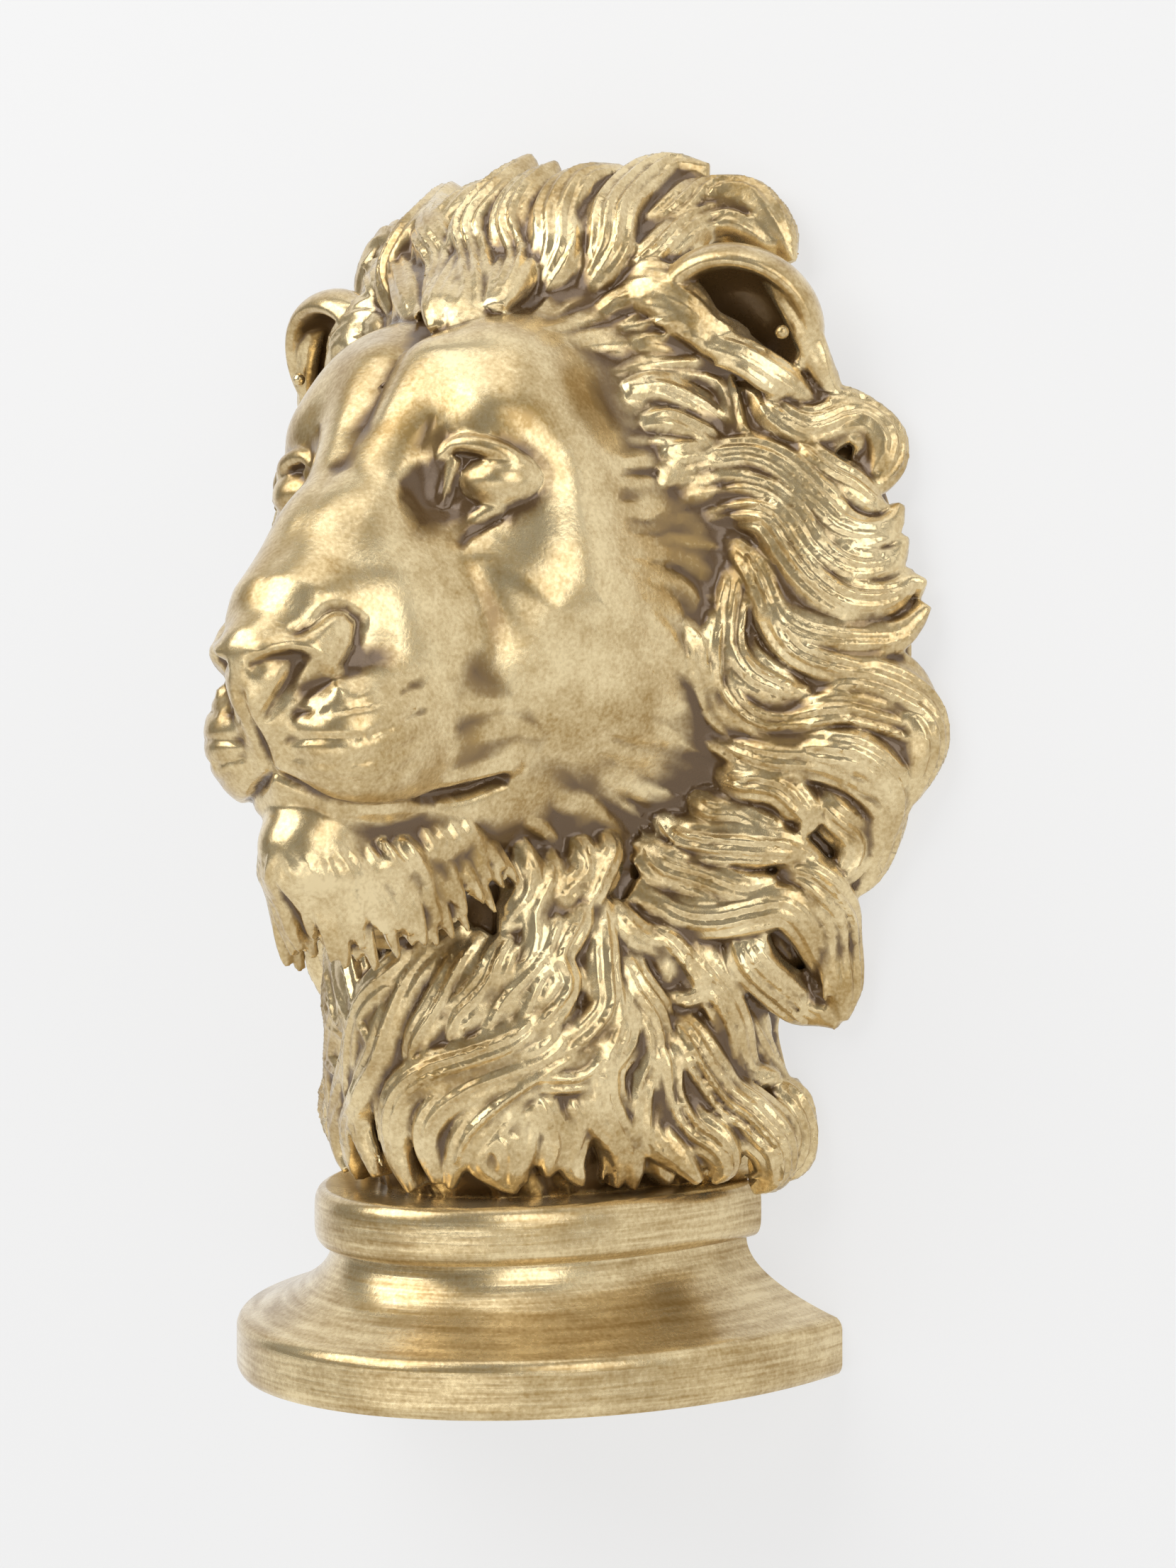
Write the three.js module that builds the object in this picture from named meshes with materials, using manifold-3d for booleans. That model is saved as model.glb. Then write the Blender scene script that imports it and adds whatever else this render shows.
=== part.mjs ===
// Lion head wall mask: one casting with a flat back that sits against the wall.
// Millimetres, +Z up. X runs across the mask and the lion looks along -Y. Sizes are worked out with
// the wall as the plane Y = 0 and the underside of the plinth at Z = 0, then the whole casting is
// moved so that the origin is the middle of that underside.
import * as THREE from 'three';
import Module from 'manifold-3d';

// The carved head: over the tips of the mane, from the wall to the nose, and from the collar up
const HEAD_WIDTH = 352;
const HEAD_DEPTH = 226;
const HEAD_HEIGHT = 430;

// Size that the carving below is laid out at, with its collar's top at this height.
// The head is stretched from this size to the one stated above.
const LAYOUT = { width: 352, depth: 226, height: 430, collar: 75 };
const WIDER = HEAD_WIDTH / LAYOUT.width;
const DEEPER = HEAD_DEPTH / LAYOUT.depth;
const TALLER = HEAD_HEIGHT / LAYOUT.height;

// Plinth: half an oval in plan, a rounded foot, a hollow curve above it and a rounded collar
const FOOT_HALF_WIDTH = 127;
const FOOT_DEPTH = 167;
const FOOT_HEIGHT = 23.5;
const FOOT_ROUNDING = 6;
const WAIST_HALF_WIDTH = 82.5;
const WAIST_DEPTH = 134;
const WAIST_HEIGHT = 52;
const CREASE = 2.2;
const COLLAR_BULGE = 7;
const COLLAR_TOP = 75;
const FOOT_EDGE = 2;
const HOLLOW_POWER = 2.1;
const COLLAR_POWER = 4;
const FOOT_ROW = 0.67;
const HOLLOW_ROWS = [0.12, 0.33, 0.61, 1];
const COLLAR_ROWS = [0.04, 0.17, 0.7, 0.91, 1];

// Neck column that rises from the collar to the jaw, set in from the waist of the plinth
const NECK_INSET = 6.5;
const NECK_INSET_FRONT = 10;
const NECK_HALF_WIDTH = (WAIST_HALF_WIDTH - NECK_INSET) / WIDER;
const NECK_DEPTH = (WAIST_DEPTH - NECK_INSET_FRONT) / DEEPER;

// Masses of the carving: centre, then half sizes. One off the middle stands for a pair.
const BODY_MASSES = [
  { name: 'mane', at: [0, 0, 290], size: [158, 52, 170] },
  { name: 'low mane', at: [0, 0, 197], size: [126, 56, 80] },
  { name: 'crown', at: [0, -8, 415], size: [90, 66, 80] },
  { name: 'neck', at: [0, 0, 150], size: [NECK_HALF_WIDTH, NECK_DEPTH, 150] },
  { name: 'foot of the mane', at: [66, 0, 112], size: [36, 38, 42] },
];
const SKULL_MASSES = [
  { name: 'skull', at: [0, -36, 352], size: [84, 104, 80] },
  { name: 'cheeks', at: [0, -58, 288], size: [87, 104, 72] },
];
const FACE_MASSES = [
  { name: 'root of the muzzle', at: [0, -124, 300], size: [40, 58, 54] },
  { name: 'brow', at: [0, -108, 356], size: [30, 40, 34] },
  { name: 'muzzle', at: [0, -132, 262], size: [50, 60, 42] },
  { name: 'eyebrow', at: [35, -112, 376], size: [25, 25, 17] },
  { name: 'temple', at: [54, -98, 352], size: [18, 22, 23] },
  { name: 'cheekbone', at: [54, -100, 315], size: [27, 29, 28] },
  { name: 'forehead', at: [25, -98, 392], size: [27, 28, 26] },
  { name: 'side of the nose', at: [24, -160, 300], size: [17, 28, 26] },
];
const SNOUT_MASSES = [
  { name: 'chin', at: [0, -170, 214], size: [23, 34, 23] },
  { name: 'under the chin', at: [0, -164, 198], size: [22, 28, 20] },
  { name: 'lip pad', at: [20, -172, 255], size: [26, 38, 30] },
  { name: 'between the pads', at: [0, -182, 255], size: [14, 28, 27] },
  { name: 'nose tip', at: [0, -205, 286], size: [18, 22, 15] },
  { name: 'nose leather', at: [0, -205, 271], size: [13, 19, 17] },
  { name: 'nose wing', at: [18, -198, 288], size: [10, 13, 10] },
];
const BODY_BLEND = 16;
const SKULL_BLEND = 40;
const FACE_BLEND = 22;
const BAR_BLEND = 15;
const SNOUT_BLEND = 10;

// Rounded bars: the jaw on each side, and the bridge of the nose from the brow down
const JAW = { from: [8, -150, 210], to: [30, -104, 238], radii: [24, 18] };
const BRIDGE = [
  { from: [10, -120, 394], to: [9, -165, 332], radii: [14, 13] },
  { from: [9, -165, 332], to: [8, -190, 301], radii: [13, 18] },
  { from: [0, -150, 356], to: [0, -167, 330], radii: [8, 14] },
  { from: [0, -167, 330], to: [0, -193, 300], radii: [14, 19] },
];

// Eyes with their lids, and the hollows that are cut into the face
const EYE = { at: [43, -113, 353], size: [18, 22, 14.5] };
const EYE_HOLLOW = { at: [42, -144, 353], size: [22, 16, 13] };
const EYE_CORNER = { from: [20, -150, 338], to: [30, -144, 351], radii: [3, 3.5] };
const UPPER_LID = [[22, -145, 344], [30, -138, 360], [44, -133, 363], [54, -127, 358], [61, -119, 352]];
const LOWER_LID = [[22, -143, 337], [34, -134, 344], [49, -129, 347], [61, -119, 352]];
const LID_RADIUS = 2.4;
const LID_BLEND = 3;
const MOUTH_BENDS = [[0, -207, 241], [14, -202, 232], [32, -182, 227], [38, -152, 230], [48, -128, 239]];
const MOUTH_RADIUS = 3.4;
const NOSTRIL = { from: [10, -229, 276], to: [20, -216, 281], radii: [4.5, 4.5] };
const LIP_CLEFT = { from: [0, -222, 264], to: [0, -210, 243], radii: [3, 3] };
const BROW_FURROW = { from: [0, -108, 422], to: [0, -158, 366], radii: [4, 2] };
const NOSE_WING = { from: [24, -207, 302], to: [32, -200, 288], radii: [3.5, 3.5] };
const CUT_BLEND = 5;

// Ears: a dished oval that leans outward, nods forward and turns away from the face
const EAR_AT = [99, -34, 423];
const EAR_SIZE = [35, 15, 30];
const EAR_DISH_SIZE = [25, 16, 20];
const EAR_DISH_FORWARD = 13;
const EAR_TURN = 20;
const EAR_LEAN = 28;
const EAR_PITCH = 26;
const EAR_COLUMNS = 14;
const EAR_ROWS = 8;
const DISH_COLUMNS = 12;
const DISH_ROWS = 6;

// Locks of hair. Each tier fans evenly from one root line to one tip line, seen from the front.
// bow bends a lock to one side, sway makes it an S, hook turns up its tip.
const TIERS = [
  { name: 'crown', on: onMane, count: 3, root: [[4, 424], [36, 431]], tip: [[10, 500], [68, 485]],
    bow: 7, sway: -8, hook: 9, width: 15, height: 12 },
  { name: 'ear cover', on: onMane, count: 1, root: [[48, 431], [48, 431]], tip: [[107, 438], [107, 438]],
    bow: 26, sway: -6, hook: 0, width: 12, height: 9 },
  { name: 'temple', on: onMane, count: 2, root: [[62, 416], [80, 386]], tip: [[112, 396], [121, 368]],
    bow: 6, sway: 6, hook: 4, width: 13, height: 9 },
  { name: 'below ear', on: onMane, count: 1, root: [[106, 394], [106, 394]], tip: [[150, 352], [150, 352]],
    bow: 8, sway: 3, hook: -6, width: 14, height: 10 },
  { name: 'outer sweep', on: onMane, count: 3, root: [[98, 366], [96, 322]], tip: [[158, 346], [167, 280]],
    bow: -6, sway: 11, hook: 12, width: 15, height: 11 },
  { name: 'inner sweep', on: onMane, count: 1, root: [[96, 306], [96, 306]], tip: [[138, 268], [138, 268]],
    bow: -16, sway: 4, hook: 5, width: 15, height: 11 },
  { name: 'low sweep', on: onMane, count: 2, root: [[88, 262], [84, 240]], tip: [[168, 240], [137, 196]],
    bow: 14, sway: 2, hook: -8, width: 17, height: 12 },
  { name: 'jaw sweep', on: onMane, count: 1, root: [[72, 224], [72, 224]], tip: [[128, 204], [128, 204]],
    bow: -13, sway: 3, hook: 3, width: 14, height: 11 },
  { name: 'corner', on: onMane, count: 2, root: [[112, 206], [70, 196]], tip: [[131, 145], [96, 118]],
    bow: 4, sway: 8, hook: 6, width: 16, height: 12 },
  { name: 'wall side', on: onNeck, count: 1, root: [[78, 158], [78, 158]], tip: [[98, 80], [98, 80]],
    bow: -3, sway: -7, hook: 5, width: 17, height: 13 },
  { name: 'throat', on: onNeck, count: 2, root: [[66, 196], [56, 188]], tip: [[67, 78], [18, 80]],
    bow: -4, sway: 7, hook: 6, width: 17, height: 12 },
  { name: 'front', on: onNeck, count: 2, root: [[42, 192], [12, 184]], tip: [[40, 80], [4, 104]],
    bow: 5, sway: 6, hook: -5, width: 15, height: 11 },
];
const LOCK_STEPS = 6;
const LOCK_SECTION = [[-1, -0.6], [-0.45, 0.8], [0.45, 0.8], [1, -0.6]];
const LOCK_SINK = 0.35;
const SWELL_START = 0.16;
const SWELL_SPAN = 0.76;
const SWELL_POWER = 0.7;
const HOOK_START = 0.6;
const MANE_SEARCH_START = -120;
const MANE_EDGE = 4;
const SLOPE_STEP = 3;

// Grid of the head: columns by angle round the wall axis, rows by height
const COLUMN_ANGLES = [];
for (let angle = 0; angle < 24; angle += 3) COLUMN_ANGLES.push(angle);
for (let angle = 24; angle < 54; angle += 5) COLUMN_ANGLES.push(angle);
for (let angle = 54; angle <= 90; angle += 9) COLUMN_ANGLES.push(angle);
const ROWS_NECK = 3;
const ROWS_FACE = 25;
const ROWS_CROWN = 5;
const JAW_LINE = 178;
const HAIR_LINE = 426;
const MANE_TOP = 495;
const TOP_ROW_DROP = 2;
const CROWN_FORWARD = 4;
const FOOT_CENTRE_FORWARD = 20;
const BACK_MARGIN = 6;
const SEARCH_RADIUS = 270;
const SEARCH_STRIDE = 0.8;
const SEARCH_GAP = 0.05;
const SEARCH_LEAST = 0.25;
const SMALLEST_RADIUS = 0.5;

const wasm = await Module();
wasm.setup();

function clamp(value, low, high) {
  return Math.min(high, Math.max(low, value));
}

function mix(a, b, t) {
  return a + (b - a) * t;
}

function smoothMin(a, b, soft) {
  const overlap = Math.max(soft - Math.abs(a - b), 0) / soft;
  return Math.min(a, b) - overlap * overlap * soft * 0.25;
}

function smoothMax(a, b, soft) {
  return -smoothMin(-a, -b, soft);
}

// Distance to an oval mass; a mass off the middle is mirrored to the other side
function oval(p, mass) {
  const x = mass.at[0] > 0 ? Math.abs(p[0]) : p[0];
  const offset = [x - mass.at[0], p[1] - mass.at[1], p[2] - mass.at[2]];
  const scaled = offset.map((value, i) => value / mass.size[i]);
  const steep = scaled.map((value, i) => value / mass.size[i]);
  const reach = Math.hypot(...scaled);
  return reach < 1e-6 ? -Math.min(...mass.size) : reach * (reach - 1) / Math.hypot(...steep);
}

// Distance to a rounded bar with its own radius at each end, mirrored to the other side
function bar(p, { from, to, radii }) {
  const q = [Math.abs(p[0]) - from[0], p[1] - from[1], p[2] - from[2]];
  const run = [to[0] - from[0], to[1] - from[1], to[2] - from[2]];
  const length2 = run[0] ** 2 + run[1] ** 2 + run[2] ** 2;
  const t = clamp((q[0] * run[0] + q[1] * run[1] + q[2] * run[2]) / length2, 0, 1);
  const gap = Math.hypot(q[0] - run[0] * t, q[1] - run[1] * t, q[2] - run[2] * t);
  return gap - mix(radii[0], radii[1], t);
}

// Distance to a chain of bars of one radius
function chain(p, bends, radius) {
  let nearest = Infinity;
  for (let i = 1; i < bends.length; i += 1) {
    nearest = Math.min(nearest, bar(p, { from: bends[i - 1], to: bends[i], radii: [radius, radius] }));
  }
  return nearest;
}

function joined(p, start, masses, soft) {
  return masses.reduce((d, mass) => smoothMin(d, oval(p, mass), soft), start);
}

// Distance from a point to the surface of the head, negative inside
function head(p) {
  let d = joined(p, oval(p, BODY_MASSES[0]), BODY_MASSES.slice(1), BODY_BLEND);
  d = joined(p, d, SKULL_MASSES, SKULL_BLEND);
  d = joined(p, d, FACE_MASSES, FACE_BLEND);
  for (const piece of [JAW, ...BRIDGE]) d = smoothMin(d, bar(p, piece), BAR_BLEND);
  d = joined(p, d, SNOUT_MASSES, SNOUT_BLEND);
  d = smoothMax(d, -oval(p, EYE_HOLLOW), CUT_BLEND);
  d = smoothMax(d, -bar(p, EYE_CORNER), CUT_BLEND);
  d = Math.min(d, oval(p, EYE));
  for (const lid of [UPPER_LID, LOWER_LID]) d = smoothMin(d, chain(p, lid, LID_RADIUS), LID_BLEND);
  d = smoothMax(d, -chain(p, MOUTH_BENDS, MOUTH_RADIUS), CUT_BLEND);
  for (const cut of [NOSTRIL, LIP_CLEFT, BROW_FURROW, NOSE_WING]) d = smoothMax(d, -bar(p, cut), CUT_BLEND);
  return d;
}

// From the layout of the carving to its real size on top of the plinth
function placed([x, y, z]) {
  return [x * WIDER, y * DEEPER, COLLAR_TOP + (z - LAYOUT.collar) * TALLER];
}

// Distance out from the wall axis to the head's surface, at one angle and height
function headRadius(angle, z) {
  const point = (r) => [r * Math.sin(angle), -r * Math.cos(angle), z];
  let r = SEARCH_RADIUS;
  while (r > SMALLEST_RADIUS) {
    const gap = head(point(r));
    if (gap < SEARCH_GAP) break;
    r -= SEARCH_STRIDE * Math.max(gap, SEARCH_LEAST);
  }
  return Math.max(r, SMALLEST_RADIUS);
}

// Half width and depth of the plinth at one height, from the foot to the collar
function plinthAt(z) {
  if (z <= FOOT_HEIGHT) {
    const fromEdge = Math.min(z + FOOT_EDGE, FOOT_HEIGHT - z);
    const round = clamp(1 - fromEdge / FOOT_ROUNDING, 0, 1);
    const inset = FOOT_ROUNDING * (1 - Math.sqrt(1 - round * round));
    return [FOOT_HALF_WIDTH - inset, FOOT_DEPTH - inset];
  }
  if (z <= WAIST_HEIGHT) {
    const t = (z - FOOT_HEIGHT) / (WAIST_HEIGHT - FOOT_HEIGHT);
    const curve = (1 - t) ** HOLLOW_POWER;
    return [
      mix(WAIST_HALF_WIDTH, FOOT_HALF_WIDTH - FOOT_ROUNDING, curve),
      mix(WAIST_DEPTH, FOOT_DEPTH - FOOT_ROUNDING, curve),
    ];
  }
  const t = (z - WAIST_HEIGHT) / (COLLAR_TOP - WAIST_HEIGHT);
  const round = Math.sqrt(Math.max(0, 1 - (2 * t - 1) ** COLLAR_POWER));
  const bulge = mix(CREASE, COLLAR_BULGE, round);
  return [WAIST_HALF_WIDTH + bulge, WAIST_DEPTH + bulge];
}

function ovalRadius([halfWidth, depth], angle) {
  return 1 / Math.hypot(Math.sin(angle) / halfWidth, Math.cos(angle) / depth);
}

function spaced(from, to, count) {
  return Array.from({ length: count }, (_, i) => mix(from, to, i / count));
}

// Rings of the casting from the underside up: the plinth's rows, then the head's
function castingRings() {
  const angles = [...COLUMN_ANGLES.slice(1).map((value) => -value).reverse(), ...COLUMN_ANGLES];
  const ringAt = (z, radiusAt) => {
    const ring = angles.map((degrees) => {
      const angle = THREE.MathUtils.degToRad(degrees);
      const r = radiusAt(angle);
      return [r * Math.sin(angle), -r * Math.cos(angle), z];
    });
    const half = ring[ring.length - 1][0];
    return [...ring, [half, BACK_MARGIN, z], [-half, BACK_MARGIN, z]];
  };
  const shoulder = FOOT_HEIGHT - FOOT_ROUNDING;
  const foot = [0, FOOT_ROUNDING / 2, shoulder, mix(shoulder, FOOT_HEIGHT, FOOT_ROW), FOOT_HEIGHT];
  const hollow = HOLLOW_ROWS.map((share) => mix(FOOT_HEIGHT, WAIST_HEIGHT, share));
  const collar = COLLAR_ROWS.map((share) => mix(WAIST_HEIGHT, COLLAR_TOP, share));
  const heightsBelow = [...foot, ...hollow, ...collar];
  const plinth = heightsBelow.map((z) => ringAt(z, (angle) => ovalRadius(plinthAt(z), angle)));
  const heights = [
    ...spaced(LAYOUT.collar, JAW_LINE, ROWS_NECK),
    ...spaced(JAW_LINE, HAIR_LINE, ROWS_FACE),
    ...spaced(HAIR_LINE, MANE_TOP - TOP_ROW_DROP, ROWS_CROWN),
    MANE_TOP - TOP_ROW_DROP,
  ];
  const carved = heights.map((z) => ringAt(z, (angle) => headRadius(angle, z)).map(placed));
  return [...plinth, ...carved];
}

function solidFrom(points, triangles) {
  const mesh = new wasm.Mesh({
    numProp: 3,
    vertProperties: new Float32Array(points.flat()),
    triVerts: new Uint32Array(triangles.flat()),
  });
  return new wasm.Manifold(mesh);
}

// Closed skin over rings of points, with a centre point on the first and the last ring
function skin(rings, first, last) {
  const count = rings[0].length;
  const points = [...rings.flat(), first, last];
  const start = rings.length * count;
  const triangles = [];
  for (let j = 0; j < count; j += 1) {
    const next = (j + 1) % count;
    for (let i = 0; i + 1 < rings.length; i += 1) {
      const a = i * count;
      const b = a + count;
      triangles.push([a + j, a + next, b + next]);
      triangles.push([a + j, b + next, b + j]);
    }
    const top = (rings.length - 1) * count;
    triangles.push([start, next, j]);
    triangles.push([start + 1, top + j, top + next]);
  }
  return solidFrom(points, triangles);
}

function headSolid() {
  return skin(castingRings(), [0, -FOOT_CENTRE_FORWARD, 0], placed([0, -CROWN_FORWARD, MANE_TOP]));
}

// An oval solid of the ear, at its place on one side of the head
function earOval(size, forward, columns, rows, side) {
  const turn = new THREE.Matrix4().makeRotationZ(THREE.MathUtils.degToRad(side * EAR_TURN));
  turn.multiply(new THREE.Matrix4().makeRotationX(THREE.MathUtils.degToRad(EAR_PITCH)));
  turn.multiply(new THREE.Matrix4().makeRotationY(THREE.MathUtils.degToRad(side * EAR_LEAN)));
  const at = (x, y, z) => {
    const point = new THREE.Vector3(x, y - forward, z).applyMatrix4(turn);
    return placed([point.x + side * EAR_AT[0], point.y + EAR_AT[1], point.z + EAR_AT[2]]);
  };
  const rings = [];
  for (let i = 1; i < rows; i += 1) {
    const lift = Math.PI * (i / rows - 0.5);
    rings.push(Array.from({ length: columns }, (_, j) => {
      const round = 2 * Math.PI * j / columns;
      const flat = Math.cos(lift);
      return at(size[0] * flat * Math.cos(round), size[1] * flat * Math.sin(round), size[2] * Math.sin(lift));
    }));
  }
  return skin(rings, at(0, 0, -size[2]), at(0, 0, size[2]));
}

function earSolid(side) {
  const disc = earOval(EAR_SIZE, 0, EAR_COLUMNS, EAR_ROWS, side);
  return disc.subtract(earOval(EAR_DISH_SIZE, EAR_DISH_FORWARD, DISH_COLUMNS, DISH_ROWS, side));
}

// Direction straight out of the head's surface near a point
function outward(p) {
  const slope = [0, 1, 2].map((k) => {
    const ahead = p.map((value, i) => (i === k ? value + SLOPE_STEP : value));
    const behind = p.map((value, i) => (i === k ? value - SLOPE_STEP : value));
    return head(ahead) - head(behind);
  });
  return new THREE.Vector3(...slope).normalize();
}

// Where a lock lies on the mane, at one place seen from the front
function onMane(x, z) {
  let y = MANE_SEARCH_START;
  while (y < -MANE_EDGE && head([x, y, z]) > 0) y += 1;
  return { point: [x, y, z], out: outward([x, y, z]) };
}

// Where a lock lies on the neck column, at one place seen from the front
function onNeck(x, z) {
  const share = x / NECK_HALF_WIDTH;
  const y = -Math.max(NECK_DEPTH * Math.sqrt(Math.max(1 - share * share, 0)), MANE_EDGE);
  const out = new THREE.Vector3(share / NECK_HALF_WIDTH, y / NECK_DEPTH ** 2, 0).normalize();
  return { point: [x, y, z], out };
}

function lockSolid(tier, index, side) {
  const share = tier.count > 1 ? index / (tier.count - 1) : 0;
  const root = [0, 1].map((i) => mix(tier.root[0][i], tier.root[1][i], share));
  const tip = [0, 1].map((i) => mix(tier.tip[0][i], tier.tip[1][i], share));
  const run = [tip[0] - root[0], tip[1] - root[1]];
  const length = Math.hypot(...run);
  const aside = [-run[1] / length, run[0] / length];
  const centres = [];
  for (let i = 0; i <= LOCK_STEPS; i += 1) {
    const t = i / LOCK_STEPS;
    const turned = tier.hook * clamp((t - HOOK_START) / (1 - HOOK_START), 0, 1) ** 2;
    const offset = tier.bow * Math.sin(Math.PI * t) + tier.sway * Math.sin(2 * Math.PI * t) + turned;
    const x = root[0] + run[0] * t + aside[0] * offset;
    const z = root[1] + run[1] * t + aside[1] * offset;
    centres.push(tier.on(side * x, z));
  }
  const rings = centres.map(({ point, out }, i) => {
    const before = new THREE.Vector3(...centres[Math.max(i - 1, 0)].point);
    const after = new THREE.Vector3(...centres[Math.min(i + 1, LOCK_STEPS)].point);
    const ahead = after.sub(before).normalize();
    const across = new THREE.Vector3().crossVectors(out, ahead).normalize();
    const up = new THREE.Vector3().crossVectors(ahead, across);
    const t = i / LOCK_STEPS;
    const swell = Math.sin(Math.PI * (SWELL_START + SWELL_SPAN * t)) ** SWELL_POWER;
    const centre = new THREE.Vector3(...point).addScaledVector(up, tier.height * swell * LOCK_SINK);
    return LOCK_SECTION.map(([u, v]) => {
      const corner = centre.clone();
      corner.addScaledVector(across, -u * tier.width * swell);
      corner.addScaledVector(up, v * tier.height * swell);
      return placed(corner.toArray());
    });
  });
  const middle = (ring) => [0, 1, 2].map((k) => ring.reduce((sum, p) => sum + p[k], 0) / ring.length);
  return skin(rings, middle(rings[0]), middle(rings[rings.length - 1]));
}

function casting() {
  let solid = headSolid();
  for (const side of [-1, 1]) {
    solid = solid.add(earSolid(side));
    for (const tier of TIERS) {
      for (let i = 0; i < tier.count; i += 1) solid = solid.add(lockSolid(tier, i, side));
    }
  }
  const wide = FOOT_HALF_WIDTH * 4;
  const wall = [[-wide, 0], [wide, 0], [wide, wide], [-wide, wide]];
  const rings = [-wide, wide * 2].map((z) => wall.map(([x, y]) => [x, y, z]));
  const behindWall = skin(rings, [0, wide / 2, -wide], [0, wide / 2, wide * 2]);
  return solid.subtract(behindWall).translate([0, FOOT_DEPTH / 2, 0]);
}

// The outer skin alone: a pocket that locks close off inside the casting is filled
function outerSkin(triangles, vertexCount) {
  const parent = Array.from({ length: vertexCount }, (_, i) => i);
  const find = (i) => {
    let top = i;
    while (parent[top] !== top) top = parent[top];
    parent[i] = top;
    return top;
  };
  for (let i = 0; i < triangles.length; i += 3) {
    parent[find(triangles[i + 1])] = find(triangles[i]);
    parent[find(triangles[i + 2])] = find(triangles[i]);
  }
  const sizes = new Map();
  for (const corner of triangles) sizes.set(find(corner), (sizes.get(find(corner)) ?? 0) + 1);
  const largest = [...sizes.entries()].sort((a, b) => b[1] - a[1])[0][0];
  const kept = [];
  for (let i = 0; i < triangles.length; i += 3) {
    if (find(triangles[i]) === largest) kept.push(triangles[i], triangles[i + 1], triangles[i + 2]);
  }
  return kept;
}

function meshFrom(solid, name, material) {
  const { vertProperties, triVerts, numProp } = solid.getMesh();
  const vertexCount = vertProperties.length / numProp;
  const places = new Map();
  const positions = [];
  const index = outerSkin(triVerts, vertexCount).map((corner) => {
    if (!places.has(corner)) {
      places.set(corner, places.size);
      for (let k = 0; k < 3; k += 1) positions.push(vertProperties[numProp * corner + k]);
    }
    return places.get(corner);
  });
  const geometry = new THREE.BufferGeometry();
  geometry.setAttribute('position', new THREE.Float32BufferAttribute(positions, 3));
  geometry.setIndex(index);
  geometry.computeVertexNormals();
  const mesh = new THREE.Mesh(geometry, material);
  mesh.name = name;
  return mesh;
}

const antiqueGold = new THREE.MeshStandardMaterial({ color: 0xb8a066, roughness: 0.42, metalness: 0.6 });
antiqueGold.name = 'antique_gold';

const mask = new THREE.Group();
mask.name = 'lion_head_wall_mask';
mask.add(meshFrom(casting(), 'lion_head_mask', antiqueGold));

export default mask;
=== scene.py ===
"""Looks of the lion head wall mask: one sculpted casting in antique gold against a pale wall."""

import math

import bpy
import numpy as np
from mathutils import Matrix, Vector


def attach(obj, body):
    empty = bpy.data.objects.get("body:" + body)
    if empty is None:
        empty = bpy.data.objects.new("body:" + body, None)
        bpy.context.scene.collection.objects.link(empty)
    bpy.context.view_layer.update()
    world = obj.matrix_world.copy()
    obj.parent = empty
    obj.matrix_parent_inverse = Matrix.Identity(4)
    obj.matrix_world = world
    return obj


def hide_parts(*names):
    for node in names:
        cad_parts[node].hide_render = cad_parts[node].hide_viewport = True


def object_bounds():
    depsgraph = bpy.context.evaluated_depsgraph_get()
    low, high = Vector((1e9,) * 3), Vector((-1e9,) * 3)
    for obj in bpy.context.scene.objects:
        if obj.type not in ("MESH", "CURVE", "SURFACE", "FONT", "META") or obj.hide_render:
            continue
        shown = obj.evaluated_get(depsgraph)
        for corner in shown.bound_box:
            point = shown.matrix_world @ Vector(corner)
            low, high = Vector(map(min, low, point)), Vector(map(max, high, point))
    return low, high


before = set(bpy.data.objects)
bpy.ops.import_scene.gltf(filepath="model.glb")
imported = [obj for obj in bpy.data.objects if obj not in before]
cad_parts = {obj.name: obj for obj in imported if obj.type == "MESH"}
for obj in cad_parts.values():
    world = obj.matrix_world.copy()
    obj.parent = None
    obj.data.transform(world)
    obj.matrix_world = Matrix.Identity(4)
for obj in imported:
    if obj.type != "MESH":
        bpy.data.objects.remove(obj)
CAD_LOW, CAD_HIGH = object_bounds()
WALL = CAD_HIGH.y
MM = 0.001

# Sizes are in millimetres, with the wall as the plane y = 0 and the plinth's underside at z = 0.
# The lion looks along -y. A mass off the middle stands for a pair.

BODY_MASSES = [
    ((0, 0, 290), (158, 52, 170)),
    ((0, 0, 197), (126, 56, 80)),
    ((0, -8, 415), (90, 66, 80)),
    ((0, 0, 150), (76, 124, 150)),
    ((66, 0, 112), (36, 38, 42)),
]
SKULL_MASSES = [
    ((0, -36, 352), (84, 104, 80)),
    ((0, -58, 288), (87, 104, 72)),
]
FACE_MASSES = [
    ((0, -124, 300), (40, 58, 54)),
    ((0, -108, 356), (30, 40, 34)),
    ((0, -132, 262), (50, 60, 42)),
    ((35, -112, 376), (25, 25, 17)),
    ((54, -97, 352), (17, 20, 22)),
    ((54, -100, 315), (27, 29, 28)),
    ((25, -98, 392), (27, 28, 26)),
    ((24, -160, 300), (17, 28, 26)),
]
JAW = ((8, -150, 210), (30, -104, 238), 24, 18)
SNOUT_MASSES = [
    ((0, -170, 214), (23, 34, 23)),
    ((0, -164, 198), (22, 28, 20)),
    ((20, -172, 255), (26, 38, 30)),
    ((0, -182, 255), (14, 28, 27)),
    ((0, -205, 286), (18, 22, 15)),
    ((0, -205, 271), (13, 19, 17)),
    ((18, -198, 288), (10, 13, 10)),
]
BRIDGE = [
    ((10, -120, 394), (9, -165, 332), 14, 13),
    ((9, -165, 332), (8, -190, 301), 13, 18),
    ((0, -150, 356), (0, -167, 330), 8, 14),
    ((0, -167, 330), (0, -193, 300), 14, 19),
]
EYE = ((45, -117, 352.5), (19, 24, 13.5))
EYE_HOLLOW = ((39, -154, 350), (14, 13, 13))
EYE_CORNER = ((36, -142, 359), (34, -143, 344), 1.5, 2)

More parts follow.
